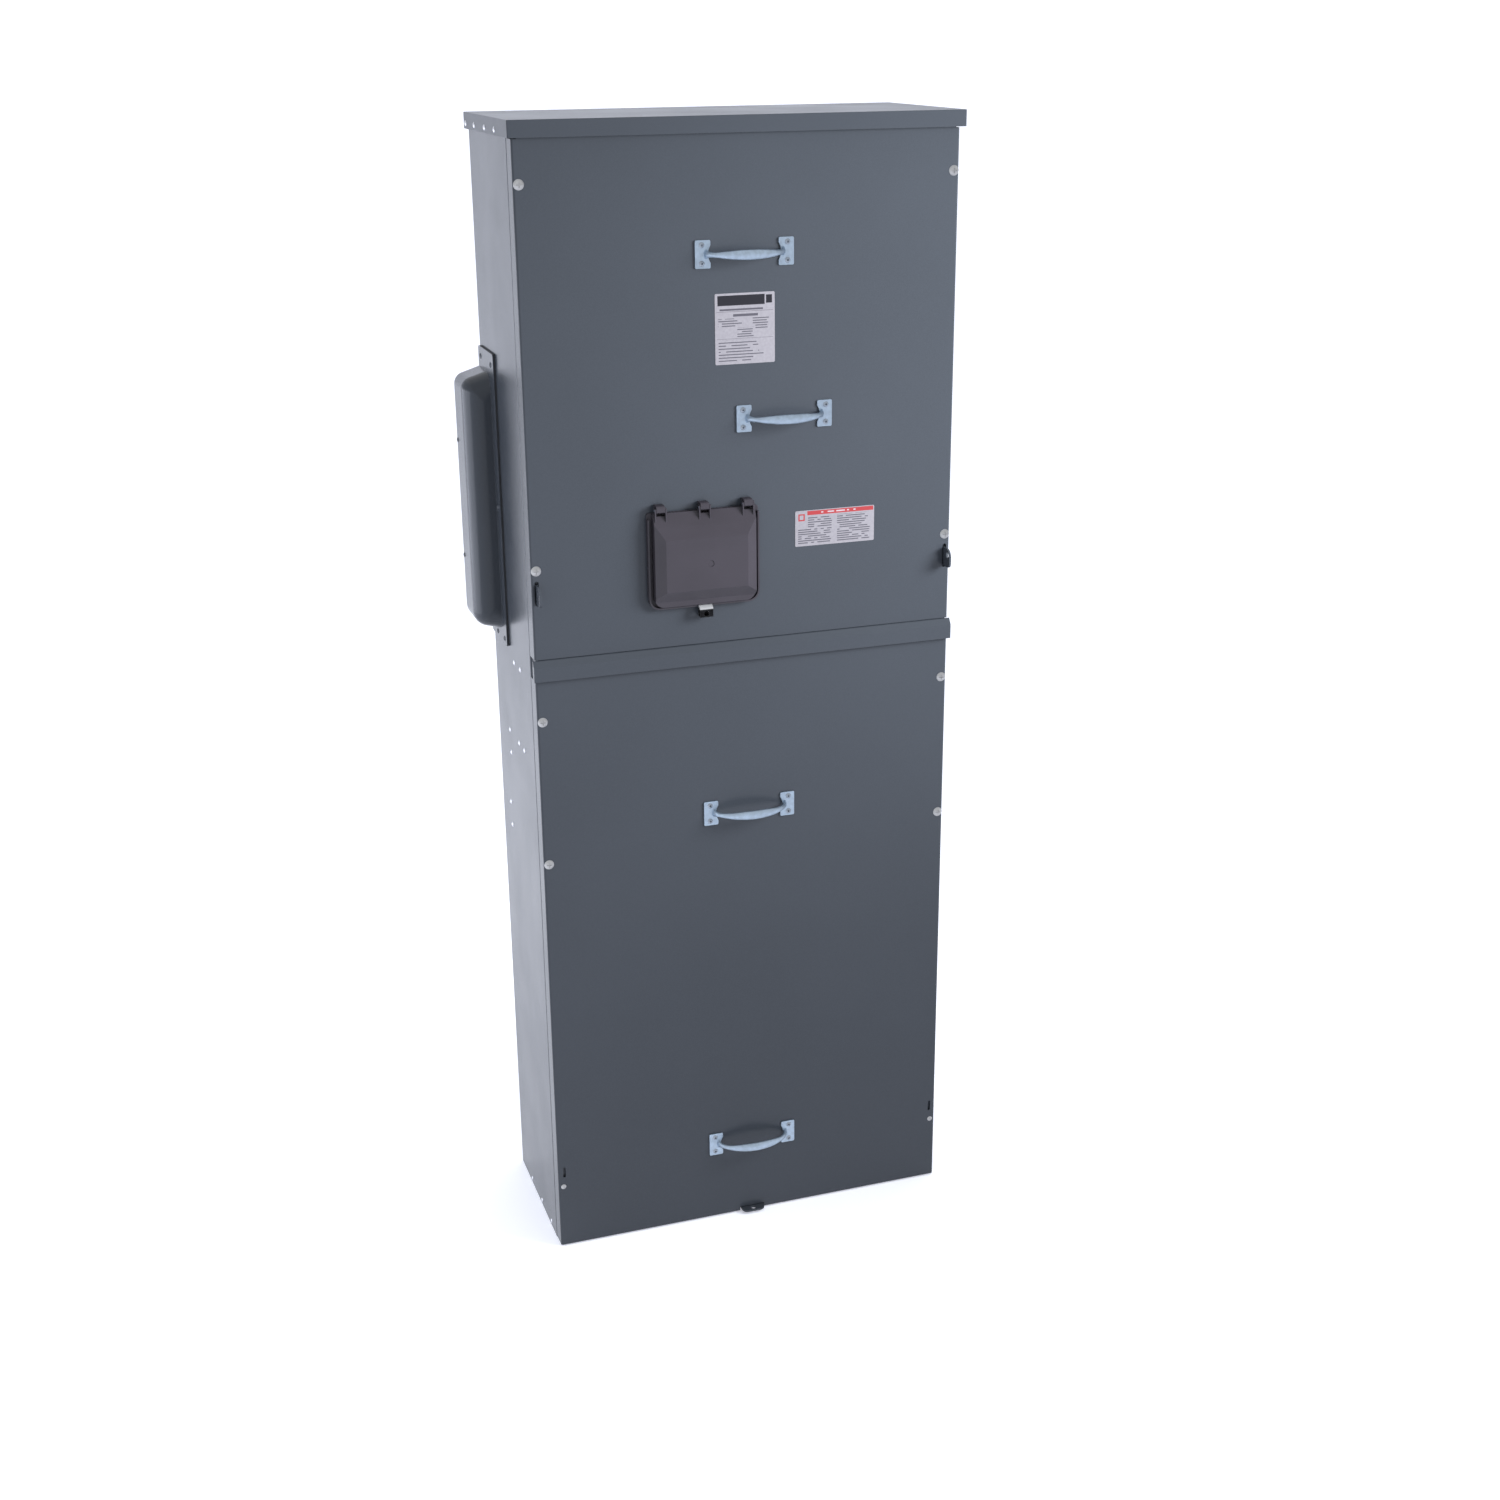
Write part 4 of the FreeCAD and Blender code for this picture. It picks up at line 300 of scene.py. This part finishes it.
# ---------------------------------------------------------------- labels
class Print:
    """Flat artwork on a label that faces the front; lengths are millimetres from its lower left."""

    def __init__(self, shader, node):
        low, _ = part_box(node)
        self.s = shader
        self.u = shader.math("MULTIPLY_ADD", shader.x, 1.0 / MM, -low.x / MM)
        self.v = shader.math("MULTIPLY_ADD", shader.z, 1.0 / MM, -low.z / MM)

    def block(self, x, z):
        """Filled rectangle between the (low, high) pairs."""
        s = self.s
        wide = s.math("COMPARE", self.u, (x[0] + x[1]) / 2, (x[1] - x[0]) / 2)
        tall = s.math("COMPARE", self.v, (z[0] + z[1]) / 2, (z[1] - z[0]) / 2)
        return s.product(wide, tall)

    def rows(self, x, z, pitch, seed, fill=0.42, word=5.0, gap=0.25, ragged=0.35):
        """Plain bars in rows that stand for print and spell nothing.

        fill is a bar's share of the pitch, word the length of one cell, gap the share of cells
        left empty, and ragged the share of the width that the ends may lack."""
        s = self.s
        line = s.math("DIVIDE", s.math("SUBTRACT", self.v, z[0]), pitch)
        index = s.math("FLOOR", line)
        inked = s.math("LESS_THAN", s.math("FRACT", line), fill)
        ends = s.add("ShaderNodeTexWhiteNoise", {"noise_dimensions": "1D"},
                     W=s.math("ADD", index, seed)).outputs["Value"]
        length = s.math("MULTIPLY_ADD", ends, -ragged * (x[1] - x[0]), x[1])
        short = s.math("LESS_THAN", self.u, length)
        cell = s.math("FLOOR", s.math("DIVIDE", self.u, word))
        spot = s.add("ShaderNodeCombineXYZ", X=cell, Y=index, Z=seed).outputs[0]
        holes = s.add("ShaderNodeTexWhiteNoise", {"noise_dimensions": "3D"},
                      Vector=spot).outputs["Value"]
        return s.product(inked, short, s.math("GREATER_THAN", holes, gap), self.block(x, z))


def label_stock(name, node, artwork):
    """Printed vinyl: faint print-film texture under artwork that has no lettering."""
    s = Shader(name)
    film = s.noise(260.0, 3.0)
    colour = s.mottled(film, rgba(VINYL_DARK), rgba(VINYL_LIGHT))
    for mask, ink in artwork(Print(s, node)):
        colour = s.blend(mask, colour, rgba(ink))
    roughness = s.ramp(film, 0.3, 0.7, 0.42, 0.55)
    return s.finish(colour, roughness, s.bump(film, 0.02 * MM, s.rounded(0.15 * MM)),
                    Specular_IOR_Level=0.25)


def rating_artwork(sheet):
    """Dark heading block, two rules, and ragged grey rows above and below them."""
    return [
        (sheet.block((2.5, 86.5), (73.2, 73.7)), GREY_INK),
        (sheet.block((2.5, 86.5), (35.6, 36.0)), GREY_INK),
        (sheet.block((4.0, 74.0), (82.0, 96.0)), BLACK_INK),
        (sheet.block((76.0, 85.0), (83.5, 95.0)), BLACK_INK),
        (sheet.rows((7.0, 74.0), (75.0, 79.5), pitch=4.6, seed=11.0, fill=0.55, word=6.0,
                    gap=0.12, ragged=0.1), GREY_INK),
        (sheet.block((27.0, 64.0), (66.5, 70.0)), GREY_INK),
        (sheet.rows((4.5, 40.0), (53.0, 64.0), pitch=3.4, seed=3.0), GREY_INK),
        (sheet.rows((56.0, 84.0), (49.0, 64.0), pitch=3.4, seed=7.0), GREY_INK),
        (sheet.rows((33.0, 62.0), (38.0, 51.0), pitch=3.2, seed=5.0, word=4.0, gap=0.2,
                    ragged=0.3), GREY_INK),
        (sheet.rows((5.0, 85.0), (4.5, 34.0), pitch=4.2, seed=2.0, fill=0.34, word=8.0,
                    gap=0.16, ragged=0.45), GREY_INK),
    ]


def notice_artwork(sheet):
    """Thin red band, a plain red corner mark and two columns of grey rows."""
    outer = sheet.block((5.0, 15.0), (38.0, 48.5))
    inner = sheet.block((7.0, 13.0), (40.0, 46.5))
    print_size = {"pitch": 3.3, "fill": 0.45, "gap": 0.18}
    return [
        (sheet.block((19.0, 123.5), (46.2, 52.4)), RED_INK),
        (sheet.rows((40.0, 96.0), (48.4, 50.4), pitch=2.0, seed=31.0, fill=1.0, word=3.4,
                    gap=0.3, ragged=0.0), BAND_GAP),
        (sheet.s.math("SUBTRACT", outer, inner), RED_INK),
        (sheet.rows((20.0, 60.0), (28.0, 44.0), seed=21.0, ragged=0.2, **print_size), GREY_INK),
        (sheet.rows((4.5, 60.0), (4.0, 27.0), seed=22.0, ragged=0.25, **print_size), GREY_INK),
        (sheet.rows((66.0, 121.0), (4.0, 44.0), seed=23.0, ragged=0.25, **print_size), GREY_INK),
    ]


# ---------------------------------------------------------------- materials of the pieces
looks = {
    "enclosure_paint": paint("enclosure_paint", PAINT, PAINT_GLOSS),
    "zinc_steel": plated_steel("zinc_steel", HANDLE_ZINC),
    "hasp_steel": hasp_steel("hasp_steel"),
    "plated_bar": drawn_bar("plated_bar_upright", TIN, UPRIGHT_LINES),
    "lug_aluminium": drawn_bar("lug_aluminium", ALUMINIUM, LUG_LINES),
    "gasket_rubber": rubber("gasket_rubber"),
    "door_plastic": moulding("door_plastic", DOOR_PLASTIC, (0.42, 0.58),
                             grain_scale=1500.0, grain_depth=0.05 * MM),
    "breaker_black": moulding("breaker_black", BREAKER_PLASTIC, (0.40, 0.60),
                              grain_scale=1300.0, grain_depth=0.06 * MM, edge=2.4),
    "toggle_black": moulding("toggle_black", TOGGLE_PLASTIC, (0.26, 0.40),
                             grain_scale=1500.0, grain_depth=0.02 * MM, edge=3.0),
    "insulator_red": moulding("insulator_red", INSULATOR_RED, (0.36, 0.55),
                              grain_scale=700.0, grain_depth=0.08 * MM),
    "button_red": moulding("button_red", BUTTON_RED, (0.26, 0.40),
                           grain_scale=1500.0, grain_depth=0.02 * MM),
    "dial_grey": moulding("dial_grey", DIAL_PLASTIC, (0.30, 0.45),
                          grain_scale=1500.0, grain_depth=0.02 * MM),
}
level_bar = drawn_bar("plated_bar_level", TIN, LEVEL_LINES)
screw_steel = plated_steel("screw_steel", SCREW_ZINC)
# Handle rivets: darker zinc as painted shade for their shaded mandrel holes
rivet_steel = plated_steel("rivet_steel", HANDLE_RIVET_SHADED)
# Nodes that look different from the rest of their material slot
special = {
    "rating_label": label_stock("rating_label_print", "rating_label", rating_artwork),
    "notice_label": label_stock("notice_label_print", "notice_label", notice_artwork),
    "phase_bus_bars": level_bar,
    "neutral_bus_bar": level_bar,
    "ground_bar": level_bar,
    "top_cap": paint("dusty_cap_paint", PAINT, CAP_GLOSS),
    "enclosure_rivets": wall_rivet_steel("wall_rivet_steel", WALL_RIVET, PAINT),
    "panel_screws": looks["enclosure_paint"],
    "upper_cover_screws": screw_steel,
    "lower_cover_screws": screw_steel,
    "lower_seal_screws": screw_steel,
    "upper_handle_rivets": rivet_steel,
    "lower_handle_rivets": rivet_steel,
}

slot_of = {part["node"]: part["material_slot"] for part in frame["record"]["subparts"]}
for name, node in frame["nodes"].items():
    node.data.materials.clear()
    node.data.materials.append(special.get(name) or looks[slot_of[name]])


# ---------------------------------------------------------------- studio
def studio_floor():
    """Pale floor that rises into a backdrop far behind."""
    profile = [(FLOOR_FRONT, 0.0)]
    for step in range(BEND_STEPS + 1):
        angle = math.radians(90 * step / BEND_STEPS)
        profile.append((BEND_START + BEND_RADIUS * math.sin(angle),
                        BEND_RADIUS - BEND_RADIUS * math.cos(angle)))
    profile.append((BEND_START + BEND_RADIUS, WALL_TOP))
    corners = []
    faces = []
    for index, (y, z) in enumerate(profile):
        corners += [(-FLOOR_HALF_WIDTH, y, z), (FLOOR_HALF_WIDTH, y, z)]
        if index:
            faces.append((2 * index - 2, 2 * index - 1, 2 * index + 1, 2 * index))
    mesh = bpy.data.meshes.new("studio_floor")
    mesh.from_pydata(corners, [], faces)
    for face in mesh.polygons:
        face.use_smooth = True
    floor = bpy.data.objects.new("studio_floor", mesh)
    bpy.context.scene.collection.objects.link(floor)
    s = Shader("studio_floor")
    tone = s.blend(s.noise(2.0, 2.0), rgba(FLOOR_DARK), rgba(FLOOR_LIGHT))
    mesh.materials.append(s.finish(tone, 0.7, s.bump(s.noise(30.0, 2.0), 0.05 * MM),
                                   Emission_Color=rgba(FLOOR_GLOW),
                                   Emission_Strength=FLOOR_GLOW_STRENGTH))


def soft_light(name, place, target, size, power, spread=180.0, mirrored=True,
               tint=(1.0, 1.0, 1.0)):
    """Softbox that points at the target; spread is its beam in degrees, and a light that isn't
    mirrored leaves no image of itself in glossy surfaces."""
    lamp = bpy.data.lights.new(name, "AREA")
    lamp.shape = "RECTANGLE"
    lamp.size, lamp.size_y = size
    lamp.energy = power
    lamp.color = tint
    lamp.spread = math.radians(spread)
    light = bpy.data.objects.new(name, lamp)
    light.location = place
    light.visible_camera = False
    light.visible_glossy = mirrored
    light.rotation_euler = (Vector(target) - Vector(place)).to_track_quat("-Z", "Y").to_euler()
    bpy.context.scene.collection.objects.link(light)


studio_floor()
soft_light("key_right", place=(1.55, -1.15, 1.75), target=(0.30, -0.14, 1.40), size=(0.9, 0.9),
           power=23.5, spread=76.0, mirrored=False)
soft_light("fill_left", place=(-3.0, 1.5, 0.65), target=(-0.3, 1.5, 0.65), size=(4.2, 1.2),
           power=47.0, tint=FILL_TINT)
soft_light("overhead", place=(0.0, 2.2, 4.6), target=(0.0, 2.2, 0.0), size=(6.0, 5.0),
           power=38.0)

world = bpy.data.worlds.new("studio")
world.use_nodes = True
backdrop = world.node_tree.nodes["Background"]
backdrop.inputs["Color"].default_value = rgba(SKY)
backdrop.inputs["Strength"].default_value = SKY_STRENGTH
bpy.context.scene.world = world
bpy.context.scene.view_settings.view_transform = "Standard"

lens = bpy.data.cameras.new("camera")
lens.lens = CAMERA_LENS
lens.sensor_width = CAMERA_SENSOR
camera = bpy.data.objects.new("camera", lens)
right, up = Vector(CAMERA_RIGHT), Vector(CAMERA_UP)
turned = Matrix((right, up, right.cross(up))).transposed().to_4x4()
camera.matrix_world = Matrix.Translation(CAMERA_PLACE) @ turned
bpy.context.scene.collection.objects.link(camera)
bpy.context.scene.camera = camera
